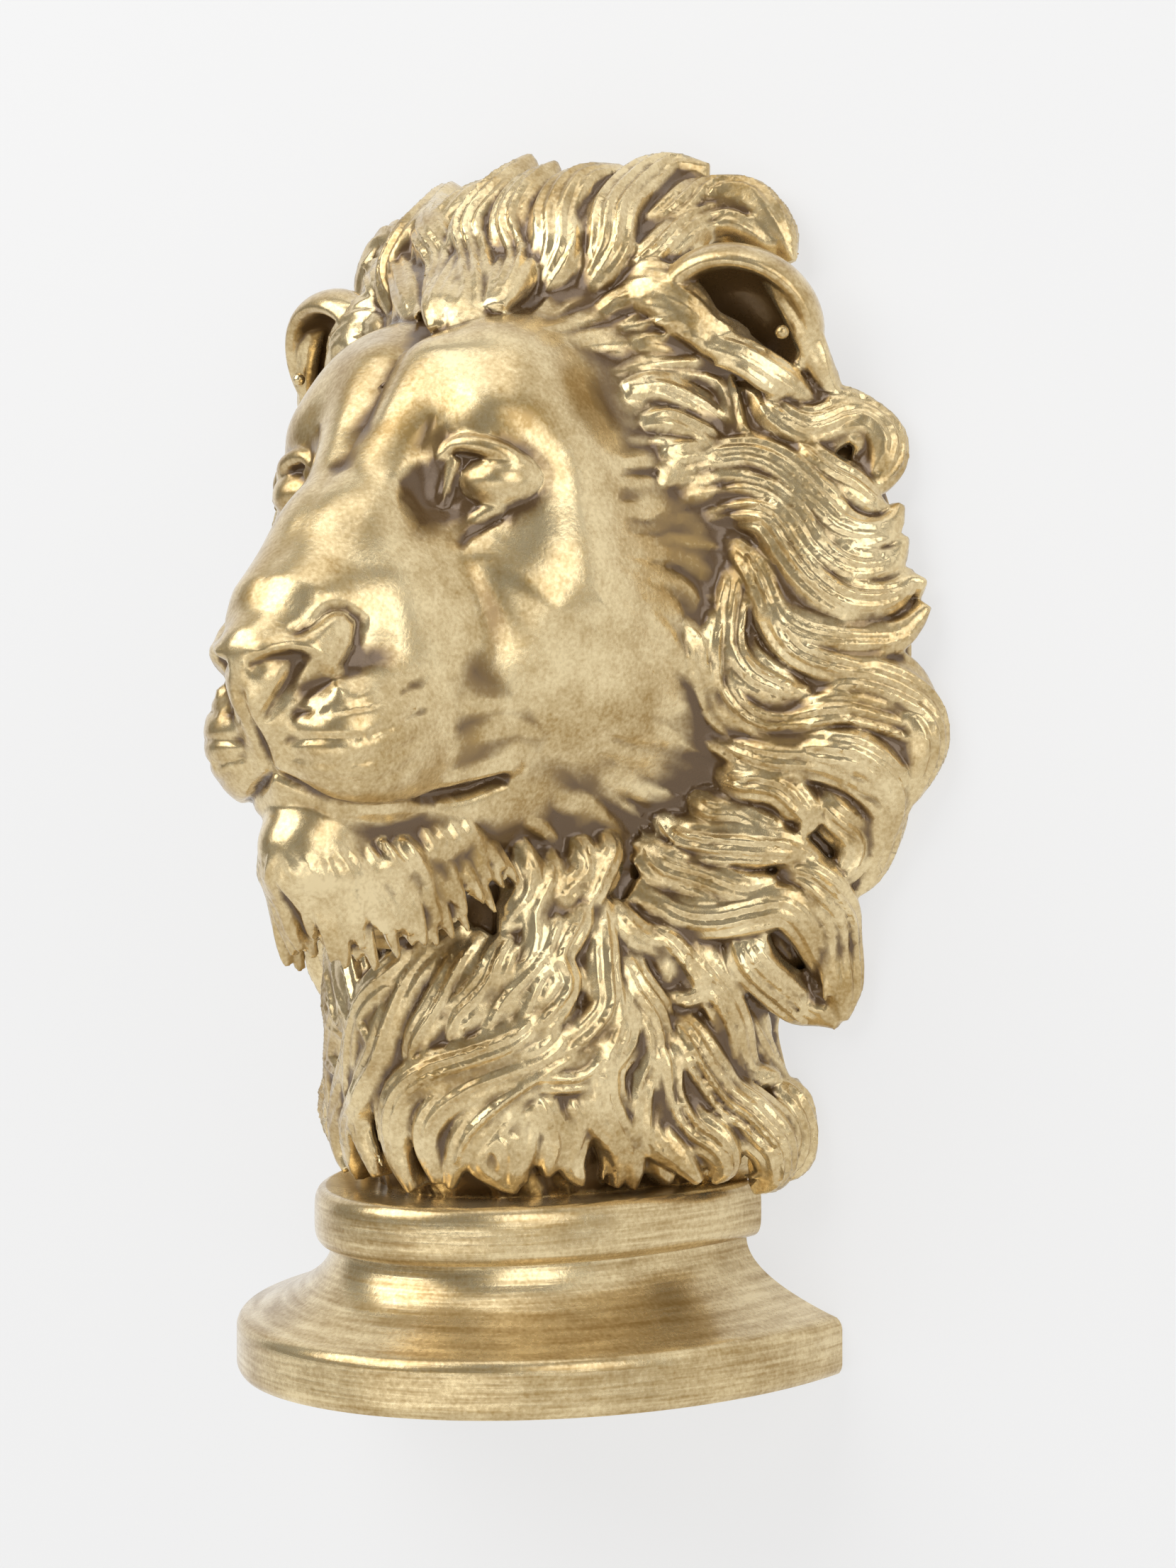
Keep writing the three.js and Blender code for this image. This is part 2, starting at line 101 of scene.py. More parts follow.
# Folds round each eye: radii from end to end, then points on the centre line
EYE_FOLDS = [
    ((2, 3.4, 4, 3.4, 2), [(30, -142, 361), (36, -141, 366), (44, -138, 366), (52, -133, 363),
                           (58, -126, 358), (62, -117, 353)]),
    ((2, 3.2, 3.4, 3, 1.5), [(60, -118, 351), (54, -125, 346), (50, -130, 343), (45, -134, 340),
                             (39, -137, 336), (33, -140, 332), (28, -144, 328)]),
    ((3, 2.2, 2.6), [(35, -139.5, 361), (33, -140, 354), (31, -141, 347), (28, -143, 338)]),
]
NOSTRIL = ((12, -229, 276), (20, -216, 281), 4, 4)

# How softly each kind of mass flows into the ones before it
BODY_BLEND = 16
SKULL_BLEND = 40
FACE_BLEND = 22
JAW_BLEND = 16
BRIDGE_BLEND = 14
SNOUT_BLEND = 10
CUT_BLEND = 5

# Lines drawn into the face: depth (a ridge if negative), half width, points
FACE_LINES = [
    (1.8, 1.6, [(49, -128, 337), (44, -134, 333), (39, -138, 329), (36, -142, 324)]),
    (1.2, 1.2, [(26, -149, 366), (25, -140, 375)]),
    (1.2, 8.0, [(0, -104, 421), (0, -112, 410), (0, -124, 397), (0, -140, 385), (0, -150, 372),
                (0, -160, 358)]),
    (3.2, 2.2, [(0, -226, 270), (0, -220, 262), (0, -214, 252), (0, -208, 245)]),
    (4.0, 1.9, [(0, -206, 242), (6, -204, 238), (14, -200, 232), (24, -192, 228), (32, -180, 227),
                (36, -168, 228), (38, -152, 230), (42, -138, 234), (48, -126, 239)]),
    (3.4, 3.2, [(36, -158, 231), (42, -142, 235), (48, -128, 239)]),
    (-2.4, 4.0, [(37, -150, 243), (42, -136, 245), (47, -124, 247)]),
    (3.2, 2.2, [(18, -213, 293), (23, -210, 297), (26, -203, 302), (29, -197, 302), (31, -192, 297),
                (31, -193, 288), (29, -196, 281)]),
    (-2.2, 2.4, [(10, -224, 285), (14, -221, 287), (18, -216, 288), (23, -210, 287), (27, -204, 282),
                 (28, -202, 272)]),
    (3.0, 2.6, [(8, -225, 280), (13, -221, 282), (19, -214, 282), (17, -214, 275), (12, -216, 268),
                (8, -218, 262)]),
    (1.9, 1.2, [(13, -207, 263), (20, -207, 263)]),
    (1.9, 1.2, [(25, -206, 263), (31, -202, 264), (37, -196, 266), (42, -184, 271), (43, -172, 275)]),
    (1.9, 1.2, [(11, -207, 254), (20, -207, 254), (28, -204, 254), (35, -200, 254)]),
    (1.9, 1.2, [(38, -197, 255), (43, -190, 258)]),
    (1.9, 1.2, [(45, -184, 261), (47, -173, 265)]),
    (1.9, 1.2, [(12, -206, 248), (19, -206, 247), (26, -203, 246)]),
    (1.9, 1.2, [(30, -200, 246), (38, -195, 247)]),
    (1.9, 1.2, [(42, -189, 249), (48, -176, 254)]),
    (1.7, 1.2, [(20, -203, 242), (26, -200, 240), (33, -195, 239)]),
    (1.7, 1.2, [(37, -189, 240), (46, -178, 245)]),
    (1.0, 3.0, [(47, -152, 259), (53, -139, 264), (59, -127, 263), (64, -116, 257)]),
    (0.8, 2.6, [(50, -140, 252), (56, -128, 255), (61, -118, 252)]),
    (1.2, 7.0, [(44, -146, 280), (52, -134, 274), (58, -122, 268)]),
    (-1.8, 7.0, [(46, -134, 320), (56, -128, 314), (64, -118, 306)]),
]

# Half the width of the bare face, from the jaw up to the forehead
HAIR_EDGE_HEIGHTS = (206, 224, 250, 299, 348, 385, 405, 428, 436)
HAIR_EDGE_WIDTHS = (44, 52, 74, 86, 83, 76, 66, 34, 0)

# Locks of the mane on both sides: half width, then points on the centre line
MANE_LOCKS = [
    (11, [(47, -69, 434), (54, -60, 449), (51, -51, 467), (51, -33, 481), (56, -18, 490), (71, -10, 489)]),
    (9, [(58, -62, 438), (68, -51, 448), (74, -36, 459), (79, -24, 465), (90, -18, 464), (104, -14, 453)]),
    (10, [(62, -50, 458), (68, -33, 468), (74, -20, 476), (90, -12, 476), (104, -10, 462),
          (109, -10, 448)]),
    (8, [(53, -47, 470), (58, -25, 480), (65, -12, 484), (76, -8, 481)]),
    (7, [(53, -71, 424), (63, -61, 430), (78, -49, 425), (91, -38, 415), (105, -30, 407)]),
    (7, [(59, -70, 417), (69, -59, 419), (83, -46, 419), (97, -35, 408), (108, -30, 399)]),
    (7, [(66, -68, 412), (78, -52, 412), (90, -42, 408), (104, -32, 400)]),
    (8, [(69, -71, 401), (76, -57, 403), (84, -45, 403), (92, -37, 399), (97, -35, 388), (102, -36, 377),
         (109, -34, 374), (118, -30, 376)]),
    (7, [(73, -75, 393), (77, -62, 394), (83, -52, 391), (88, -45, 387), (95, -39, 381), (106, -36, 372)]),
    (6, [(78, -72, 380), (84, -60, 380), (90, -50, 376), (98, -42, 370)]),
    (6, [(82, -70, 368), (88, -58, 368), (96, -46, 367), (106, -40, 368)]),
    (9, [(98, -34, 401), (107, -31, 393), (114, -30, 384), (125, -25, 379), (135, -16, 383),
         (142, -10, 380), (146, -8, 370), (144, -14, 356)]),
    (9, [(121, -22, 395), (131, -16, 389), (138, -10, 386), (149, -8, 378), (152, -8, 368), (149, -11, 358),
         (145, -17, 352)]),
    (8, [(118, -30, 375), (127, -28, 366), (135, -25, 360), (142, -21, 355), (148, -17, 349),
         (153, -11, 346)]),
    (10, [(85, -71, 358), (91, -50, 363), (106, -38, 366), (119, -33, 361), (131, -30, 349),
          (140, -27, 338), (149, -21, 335), (155, -13, 339), (157, -8, 348)]),
    (10, [(87, -65, 351), (96, -45, 356), (111, -38, 353), (124, -35, 342), (134, -32, 329),
          (146, -26, 322), (156, -15, 325), (159, -8, 335)]),
    (10, [(88, -57, 341), (100, -43, 346), (115, -39, 342), (124, -37, 328), (133, -34, 317),
          (145, -28, 310), (156, -18, 311), (163, -10, 317), (168, -8, 315)]),
    (9, [(91, -52, 331), (103, -44, 331), (113, -42, 319), (121, -40, 304), (131, -36, 297),
         (145, -28, 294), (158, -17, 295), (165, -10, 302), (169, -8, 308)]),
    (9, [(108, -43, 322), (116, -41, 307), (125, -38, 293), (137, -33, 286), (150, -25, 282),
         (160, -15, 281)]),
    (10, [(96, -47, 328), (103, -45, 319), (102, -46, 305), (103, -46, 293), (110, -44, 282),
          (122, -39, 275), (133, -34, 272)]),
    (9, [(90, -58, 316), (96, -50, 307), (97, -52, 293), (99, -49, 279), (108, -44, 267), (118, -40, 262),
         (129, -36, 264), (138, -32, 270)]),
    (7, [(90, -71, 304), (93, -61, 295), (94, -57, 282), (96, -50, 268), (105, -44, 259), (115, -41, 256)]),
    (11, [(131, -36, 274), (143, -29, 278), (156, -18, 276), (164, -10, 268), (168, -8, 256),
          (166, -8, 244), (161, -8, 231)]),
    (10, [(113, -42, 259), (129, -36, 262), (144, -28, 266), (156, -17, 262), (161, -10, 252),
          (160, -8, 240), (158, -8, 226)]),
    (8, [(120, -40, 252), (140, -34, 252), (151, -28, 250), (158, -18, 240), (156, -12, 226),
         (150, -10, 212)]),
    (10, [(91, -53, 262), (100, -45, 253), (116, -40, 248), (132, -32, 248), (146, -22, 242),
          (152, -12, 230), (149, -8, 215), (143, -8, 201), (136, -13, 193)]),
    (9, [(93, -46, 242), (108, -41, 239), (119, -37, 236), (126, -33, 229), (128, -31, 224),
         (125, -31, 217)]),
    (8, [(132, -31, 235), (138, -24, 225), (141, -17, 215), (139, -16, 205), (133, -20, 197)]),
    (7, [(83, -49, 235), (94, -46, 226), (106, -41, 223), (116, -37, 221), (122, -33, 217)]),
    (9, [(72, -56, 229), (79, -51, 219), (94, -46, 214), (108, -41, 213), (120, -34, 213),
         (132, -24, 207)]),
    (9, [(68, -60, 217), (76, -55, 207), (89, -48, 200), (105, -41, 197), (116, -35, 200)]),
    (10, [(68, -64, 197), (80, -52, 188), (95, -44, 185), (108, -38, 187), (118, -32, 189), (124, -24, 181),
          (124, -14, 168), (121, -8, 158)]),
    (11, [(117, -35, 204), (128, -27, 201), (132, -17, 188), (130, -10, 173), (132, -8, 157),
          (130, -8, 143)]),
    (10, [(100, -41, 182), (104, -35, 169), (108, -24, 158), (113, -12, 150), (122, -8, 146),
          (130, -8, 142)]),
    (9, [(70, -64, 182), (78, -53, 175), (84, -47, 167), (85, -44, 158), (81, -48, 153), (75, -56, 155)]),
    (7, [(64, -73, 192), (69, -67, 180), (75, -56, 172), (78, -54, 163), (75, -56, 157)]),
    (10, [(82, -50, 186), (86, -44, 167), (91, -38, 154), (93, -32, 141), (94, -27, 128), (98, -22, 121),
          (106, -14, 120)]),
    (9, [(87, -34, 162), (92, -24, 148), (95, -18, 134), (99, -12, 124), (106, -8, 118)]),
    (12, [(74, -55, 150), (83, -50, 137), (87, -44, 124), (92, -38, 112), (101, -32, 104), (109, -26, 94),
          (108, -23, 82), (98, -22, 76)]),
    (10, [(71, -64, 146), (77, -58, 132), (78, -54, 116), (84, -49, 104), (94, -45, 96), (97, -42, 87),
          (91, -42, 80)]),
    (10, [(66, -73, 178), (70, -67, 160), (74, -61, 146), (74, -60, 132), (71, -63, 117), (73, -60, 101),
          (83, -54, 90), (90, -50, 80)]),
    (10, [(104, -14, 120), (109, -11, 110), (111, -9, 97), (109, -9, 86), (100, -12, 78)]),
    (9, [(66, -75, 168), (68, -73, 149), (68, -73, 137), (64, -80, 125), (61, -81, 111), (64, -73, 99),
         (64, -68, 88), (62, -68, 78)]),
    (9, [(67, -73, 171), (68, -74, 158), (67, -75, 143), (65, -80, 129), (64, -78, 114), (66, -70, 100),
         (68, -64, 89), (66, -62, 77)]),
    (8, [(64, -78, 192), (63, -79, 180), (64, -81, 165), (65, -81, 152), (62, -86, 143), (55, -96, 134),
         (45, -108, 131)]),
    (8, [(57, -85, 198), (58, -88, 185), (53, -97, 171), (55, -96, 159), (49, -105, 144), (37, -115, 137)]),
    (7, [(52, -94, 193), (52, -97, 181), (48, -105, 169), (43, -111, 157), (38, -116, 149)]),
    (7, [(44, -108, 215), (44, -104, 203), (42, -107, 191), (38, -113, 179)]),
    (7, [(46, -96, 215), (49, -95, 203), (46, -103, 188), (47, -105, 176), (41, -112, 161)]),
    (7, [(54, -84, 220), (56, -83, 207), (54, -90, 197), (52, -96, 187)]),
    (7, [(60, -72, 222), (62, -74, 210), (60, -80, 198), (57, -88, 186)]),
    (8, [(64, -82, 148), (63, -83, 133), (58, -90, 125), (50, -101, 124), (40, -111, 121)]),
    (7, [(46, -106, 122), (49, -100, 111), (51, -95, 100), (48, -96, 84)]),
    (7, [(55, -94, 122), (56, -88, 106), (54, -88, 91), (57, -84, 80)]),
    (7, [(35, -114, 108), (38, -108, 93), (38, -104, 78)]),
    (6, [(70, -58, 98), (74, -54, 88), (76, -50, 78)]),
    (8, [(43, -108, 182), (36, -116, 166), (27, -123, 150), (21, -125, 134)]),
    (7, [(49, -102, 178), (45, -109, 162), (36, -117, 147), (25, -123, 136)]),
    (7, [(54, -95, 182), (51, -101, 166), (46, -108, 152), (37, -116, 143)]),
    (8, [(33, -117, 181), (25, -123, 166), (17, -127, 150), (10, -129, 136), (7, -128, 124)]),
]

# Locks of the near side alone, which sweep over the middle of the chest and forehead
NEAR_LOCKS = [
    (7, [(8, -116, 418), (3, -108, 426), (-1, -98, 434), (-5, -84, 444), (-10, -68, 457)]),
    (6, [(16, -114, 418), (12, -106, 426), (9, -96, 434), (4, -84, 444), (1, -70, 457)]),
    (10, [(23, -112, 416), (1, -77, 447), (-9, -67, 464), (-6, -53, 482), (-2, -32, 499)]),
    (10, [(28, -103, 427), (20, -73, 446), (11, -66, 464), (11, -55, 480), (15, -39, 493)]),
    (11, [(31, -79, 434), (36, -69, 448), (29, -62, 466), (32, -48, 481), (42, -32, 489)]),
    (9, [(53, -99, 163), (50, -104, 150), (43, -111, 140), (30, -120, 133), (15, -127, 127), (3, -128, 118),
         (-2, -127, 106), (-3, -124, 92), (2, -122, 78)]),
    (8, [(56, -95, 159), (56, -95, 144), (51, -102, 133), (40, -112, 126), (28, -120, 120), (16, -125, 111),
         (11, -125, 99), (14, -122, 82)]),
    (8, [(63, -83, 147), (59, -89, 136), (49, -102, 126), (37, -112, 115), (27, -118, 104),
         (21, -119, 91), (18, -119, 80)]),
    (7, [(48, -103, 121), (41, -108, 110), (33, -113, 100), (29, -114, 92), (33, -110, 86),
         (38, -106, 79)]),
    (6, [(51, -99, 120), (46, -103, 109), (43, -104, 97), (41, -105, 84)]),
    (8, [(16, -131, 182), (0, -131, 166), (-12, -130, 154), (-22, -125, 138), (-30, -119, 120),
         (-31, -118, 106)]),
    (8, [(27, -123, 184), (11, -128, 166), (-2, -130, 146), (-8, -129, 133), (-19, -124, 116),
         (-24, -120, 101), (-17, -120, 82)]),
]

# Locks of the far side alone
FAR_LOCKS = [
    (9, [(2, -108, 424), (-15, -76, 447), (-31, -64, 464), (-42, -46, 479), (-44, -36, 487)]),
    (8, [(-14, -100, 424), (-40, -70, 446), (-60, -48, 463), (-65, -40, 476)]),
    (8, [(-20, -74, 440), (-34, -62, 462), (-28, -48, 480), (-22, -34, 492)]),
    (8, [(-8, -132, 160), (-18, -126, 142), (-36, -113, 120), (-50, -101, 100), (-52, -98, 88),
         (-47, -100, 80)]),
    (8, [(-40, -110, 168), (-38, -113, 152), (-48, -104, 136), (-58, -92, 118), (-60, -88, 100),
         (-54, -92, 82)]),
    (7, [(-30, -118, 172), (-33, -118, 158), (-28, -122, 146), (-24, -124, 134)]),
    (7, [(-14, -128, 128), (-22, -124, 112), (-34, -114, 100), (-38, -108, 84)]),
]

# Each ear: a dished oval with its half sizes, place and turns in degrees.
# The profile gives a share of the radius and a depth, from the back round the rim into the hollow.
EAR_HALF_WIDTH = 35
EAR_HALF_HEIGHT = 30
EAR_PLACE = (99, -34, 423)
EAR_LEAN = 28
EAR_PITCH = 26
EAR_YAW = 20
EAR_PROFILE = [(0.0, 15, 0), (0.45, 14, 0), (0.78, 11, 0), (0.95, 5, 0), (1.0, -2, 0), (0.97, -8, 0),
               (0.89, -11.5, 0), (0.8, -11, 0), (0.72, -7, 0), (0.64, -1, 0), (0.5, 4, 0), (0.3, 6.5, 0),
               (0.0, 7.5, 0)]

# Locks that sweep across the lower part of each ear, and the tail of its rim
EAR_LOCKS = [
    (6, [(60, -60, 441), (70, -57, 442), (82, -54, 437), (90, -50, 429), (96, -44, 419)]),
    (7, [(58, -62, 436), (73, -59, 435), (86, -55, 430), (94, -49, 421), (100, -42, 414)]),
    (7, [(60, -62, 431), (76, -59, 429), (88, -53, 424), (98, -45, 417), (106, -36, 411)]),
    (7, [(70, -60, 424), (83, -56, 423), (94, -48, 417), (102, -38, 412), (110, -28, 408)]),
    (7, [(88, -54, 415), (98, -48, 411), (108, -42, 407), (118, -33, 399), (127, -22, 389)]),
]
EAR_TAIL = (6.5, [(107, -36, 448), (116, -34, 437), (123, -30, 423), (127, -24, 409), (130, -18, 398),
                  (134, -12, 385)])
EAR_BEAD = ((121, -39, 415), (3, 3, 3))

# Rows that the tufts of the beard start from, bend at and end on, from the middle to the mouth's corner
BEARD_ROOTS = [(0, -203, 211), (14, -200, 210), (27, -186, 212), (36, -164, 217), (44, -136, 224)]
BEARD_BENDS = [(0, -196, 194), (14, -192, 192), (26, -176, 195), (36, -152, 202), (45, -126, 212)]
BEARD_TIPS = [(0, -186, 176), (13, -181, 174), (26, -166, 178), (36, -142, 187), (45, -117, 202)]
BEARD_TUFTS = 14

# How a lock swells from its root and narrows to its tip, as shares of its length, width and height
ROOT_END = 0.3
ROOT_WIDTH = 0.45
ROOT_HEIGHT = 0.1
TIP_START = 0.6
TIP_WIDTH_LOSS = 0.78
TIP_HEIGHT_LOSS = 0.55
FURROW = 0.68
CREST = 0.32

# Where strands may start: the hair's reach, the bare face and the throat below the chin
HAIR_REACH = 172
HAIR_LOW = 80
HAIR_HIGH = 492
FACE_LOW = 206
FACE_HIGH = 434
CHIN_LOW = 190
CHIN_HALF_WIDTH = 40
OUTLINE_Y = -6.0
STRANDS = 150
HAIRLINE_STEP = 1.25

# Rays that find the head from outside: spacing in degrees and height, starting radius and step
COARSE = 1.0
RAY_DEGREES = 0.32
RAY_RISE = 1.1
FRONT_DEGREES = 62
RAY_START = 262.0
RAY_SHARE = 0.8
FACE_Y = -90

# How finely the skins are fused, and the triangles kept of them
VOXEL = 1.15
TRIANGLES = 180000

# Colours: metal rubbed bright, metal dulled, patina, the paint of wall and floor, and the air round them
BRIGHT_GOLD = (0.84, 0.68, 0.39, 1)
DULL_GOLD = (0.42, 0.275, 0.095, 1)
UMBER = (0.12, 0.066, 0.022, 1)
PALE_PAINT = (0.18, 0.18, 0.18, 1)
# The glow is painted light added to the paint of wall and floor, which lightens the shadows cast on them
PAINT_GLOW = 0.67
AIR = (0.19, 0.19, 0.19, 1)

# Where patina gathers: rounds of smoothing, depth in metres that counts in full, least value, share
HOLLOWS = [
    (5, 0.0006, -0.4, 0.35),
    (20, 0.0016, -0.5, 0.8),
    (90, 0.0055, -0.4, 0.5),
]
PLINTH_HOLLOW = 0.1

# Lamps in metres and watts: name, place, size, power
LAMPS = [
    ("key", (-0.9, -1.6, 1.7), (2.2, 2.0), 44),
    ("side", (1.9, -0.9, 0.9), (1.2, 1.8), 15),
    ("top", (0.2, -0.5, 2.1), (1.8, 0.8), 7),
    ("low", (0.3, -1.5, -0.35), (2.0, 0.5), 3),
]
LAMP_TARGET = (0, 0, 0.3)
CAMERA_PLACE = (0.6702, -0.9411, 0.2376)
CAMERA_TURN = 33
CAMERA_LENS = 65.83

# The stage in metres: its reach to the sides and up, its floor's height and depth, and the wall's clearance
STAGE_REACH = 4
STAGE_FLOOR = -0.4
STAGE_DEPTH = 5
WALL_GAP = 0.001

# How far skins reach behind the wall, the head's lowest and highest ring, and the seed of the hair
BACK_MARGIN = 6.0
HEAD_BOTTOM = 66.0
HEAD_TOP = 493.0
SEED = 11

# Plinth
FOOT_HALF_WIDTH = 127.0
FOOT_DEPTH = 167.0
FOOT_HEIGHT = 23.5
FOOT_ROUNDING = 6.0
WAIST_HALF_WIDTH = 82.5
WAIST_DEPTH = 134.0
WAIST_HEIGHT = 52.0
CREASE = 2.2
COLLAR_BULGE = 7.0
COLLAR_TOP = 75.0


def smooth_min(a, b, soft):
    """The nearer of two distances, with a soft change from one to the other."""
    overlap = np.maximum(soft - np.abs(a - b), 0) / soft
    return np.minimum(a, b) - overlap * overlap * soft * 0.25


def smooth_max(a, b, soft):
    """The farther of two distances, with a soft change from one to the other."""
    return -smooth_min(-a, -b, soft)


def mirrored(points):
    """Points folded onto one side, so that both sides come out alike."""
    folded = np.array(points, float)
    folded[..., 0] = np.abs(folded[..., 0])
    return folded


def oval(p, at, size):
    """Distance to an oval mass, negative inside."""
    size = np.array(size, float)
    scaled = (p - np.array(at, float)) / size
    reach = np.linalg.norm(scaled, axis=-1)
    steep = np.linalg.norm(scaled / size, axis=-1)
    return reach * (reach - 1) / np.maximum(steep, 1e-9)


def bar(p, start, end, radius_start, radius_end):
    """Distance to a tapering round bar, negative inside."""
    start = np.array(start, float)
    run = np.array(end, float) - start
    t = np.clip(((p - start) @ run) / (run @ run), 0, 1)
    gap = np.linalg.norm(p - start - t[..., None] * run, axis=-1)
    return gap - radius_start - (radius_end - radius_start) * t


def mane_distance(points):
    """Distance to the body that carries the hair, negative inside."""
    p = mirrored(points)
    d = oval(p, *BODY_MASSES[0])
    for at, size in BODY_MASSES[1:]:
        d = smooth_min(d, oval(p, at, size), BODY_BLEND)
    for at, size in SKULL_MASSES:
        d = smooth_min(d, oval(p, at, size), SKULL_BLEND)
    return d


def head_distance(points):
    """Distance to the whole head without its hair, negative inside."""
    p = mirrored(points)
    d = mane_distance(p)
    for at, size in FACE_MASSES:
        d = smooth_min(d, oval(p, at, size), FACE_BLEND)
    d = smooth_min(d, bar(p, *JAW), JAW_BLEND)
    for piece in BRIDGE:
        d = smooth_min(d, bar(p, *piece), BRIDGE_BLEND)
    for at, size in SNOUT_MASSES:
        d = smooth_min(d, oval(p, at, size), SNOUT_BLEND)
    d = smooth_max(d, -oval(p, *EYE_HOLLOW), CUT_BLEND)
    d = smooth_max(d, -bar(p, *EYE_CORNER), CUT_BLEND)
    d = np.minimum(d, oval(p, *EYE))
    return smooth_max(d, -bar(p, *NOSTRIL), CUT_BLEND)


def slope(distance, points, step=1.5):
    """Unit direction straight out of a form near each point."""
    parts = []
    for k in range(3):
        shift = np.zeros(3)
        shift[k] = step
        parts.append(distance(points + shift) - distance(points - shift))
    out = np.stack(parts, axis=-1)
    return out / np.maximum(np.linalg.norm(out, axis=-1, keepdims=True), 1e-9)


def line_gap(p, points):
    """Distance from each point to a chain of straight segments."""
    nearest = np.full(p.shape[:-1], 1e9)
    for start, end in zip(points, points[1:]):
        nearest = np.minimum(nearest, bar(p, start, end, 0, 0))
    return nearest


def snapped(line):
    """A drawn line with its points moved onto the head's surface."""
    points = np.array(line, float)
    for _ in range(6):
        points -= slope(head_distance, points) * head_distance(points)[:, None]
    return [tuple(point) for point in points]


def spline(points, count):
    """Evenly spaced points on a smooth curve through the given ones."""
    pts = np.array(points, float)
    ext = np.vstack([2 * pts[0] - pts[1], pts, 2 * pts[-1] - pts[-2]])
    dense = []
    for i in range(1, len(ext) - 2):
        t = np.linspace(0, 1, 16, endpoint=False)[:, None]
        a, b, c, d = ext[i - 1], ext[i], ext[i + 1], ext[i + 2]
        dense.append(0.5 * (2 * b + (c - a) * t + (2 * a - 5 * b + 4 * c - d) * t ** 2
                            + (3 * b - a - 3 * c + d) * t ** 3))
    dense = np.vstack(dense + [pts[-1:]])
    along = np.concatenate([[0], np.cumsum(np.linalg.norm(np.diff(dense, axis=0), axis=1))])
    wanted = np.linspace(0, along[-1], count)
    return np.stack([np.interp(wanted, along, dense[:, k]) for k in range(3)], axis=1)


def ring_faces(rows, columns):
    """Four-sided faces between neighbouring rings of points."""
    faces = []
    for i in range(rows - 1):
        for j in range(columns):
            a = i * columns + j
            b = i * columns + (j + 1) % columns
            faces.append((a, b, b + columns, a + columns))
    return faces


class Sculpture:
    """Collects closed skins before they are fused into one casting."""

    def __init__(self):
        self.points = []
        self.faces = []
        self.count = 0

    def add_rings(self, rings):
        """A closed skin over rings of points, capped at both ends."""
        rows, columns = rings.shape[:2]
        points = rings.reshape(-1, 3)
        faces = ring_faces(rows, columns)
        faces.append(tuple(range(columns))[::-1])
        faces.append(tuple(range((rows - 1) * columns, rows * columns)))
        self.points.append(points)
        self.faces.extend([tuple(self.count + v for v in face) for face in faces])
        self.count += len(points)

    def mesh(self, name):
        points = np.vstack(self.points)
        mesh = bpy.data.meshes.new(name)
        mesh.from_pydata(points.tolist(), [], self.faces)
        mesh.update()
        return mesh


def head_rings():
    """Rings round the wall axis, one for each height, that follow the head and its drawn lines."""
    front = np.arange(0, FRONT_DEGREES, RAY_DEGREES * COARSE)
    angles = np.radians(np.concatenate([front, np.linspace(FRONT_DEGREES, 90, 30)]))
    heights = np.arange(HEAD_BOTTOM, HEAD_TOP, RAY_RISE * COARSE)
    angle, z = np.meshgrid(angles, heights)
    across, ahead = np.sin(angle).ravel(), -np.cos(angle).ravel()
    z = z.ravel()
    radius = np.full(len(z), RAY_START)
    active = np.arange(len(z))
    for _ in range(220):
        r = radius[active]
        gap = head_distance(np.stack([r * across[active], r * ahead[active], z[active]], axis=-1))
        going = (gap > 0.03) & (r > 0.5)
        radius[active[going]] -= np.maximum(RAY_SHARE * gap[going], 0.1)
        active = active[going]
        if not len(active):
            break
    radius = np.maximum(radius, 0.5)
    points = np.stack([radius * across, radius * ahead, z], axis=-1)
    out = slope(head_distance, points)
    face = points[:, 1] < FACE_Y
    offset = np.zeros(len(points))
    near = points[face]
    for depth, width, line in FACE_LINES:
        share = np.exp(-(line_gap(near, snapped(line)) / width) ** 2)
        offset[face] -= depth * share
    points += out * offset[:, None]
    points = points.reshape(len(heights), len(angles), 3)
    left = points[:, ::-1].copy()
    left[..., 0] *= -1
    rings = np.concatenate([left[:, :-1], points], axis=1)
    corner = rings[:, -1:].copy()
    corner[..., 1] = BACK_MARGIN
    opposite = corner.copy()
    opposite[..., 0] *= -1
    return np.concatenate([rings, corner, opposite], axis=1)


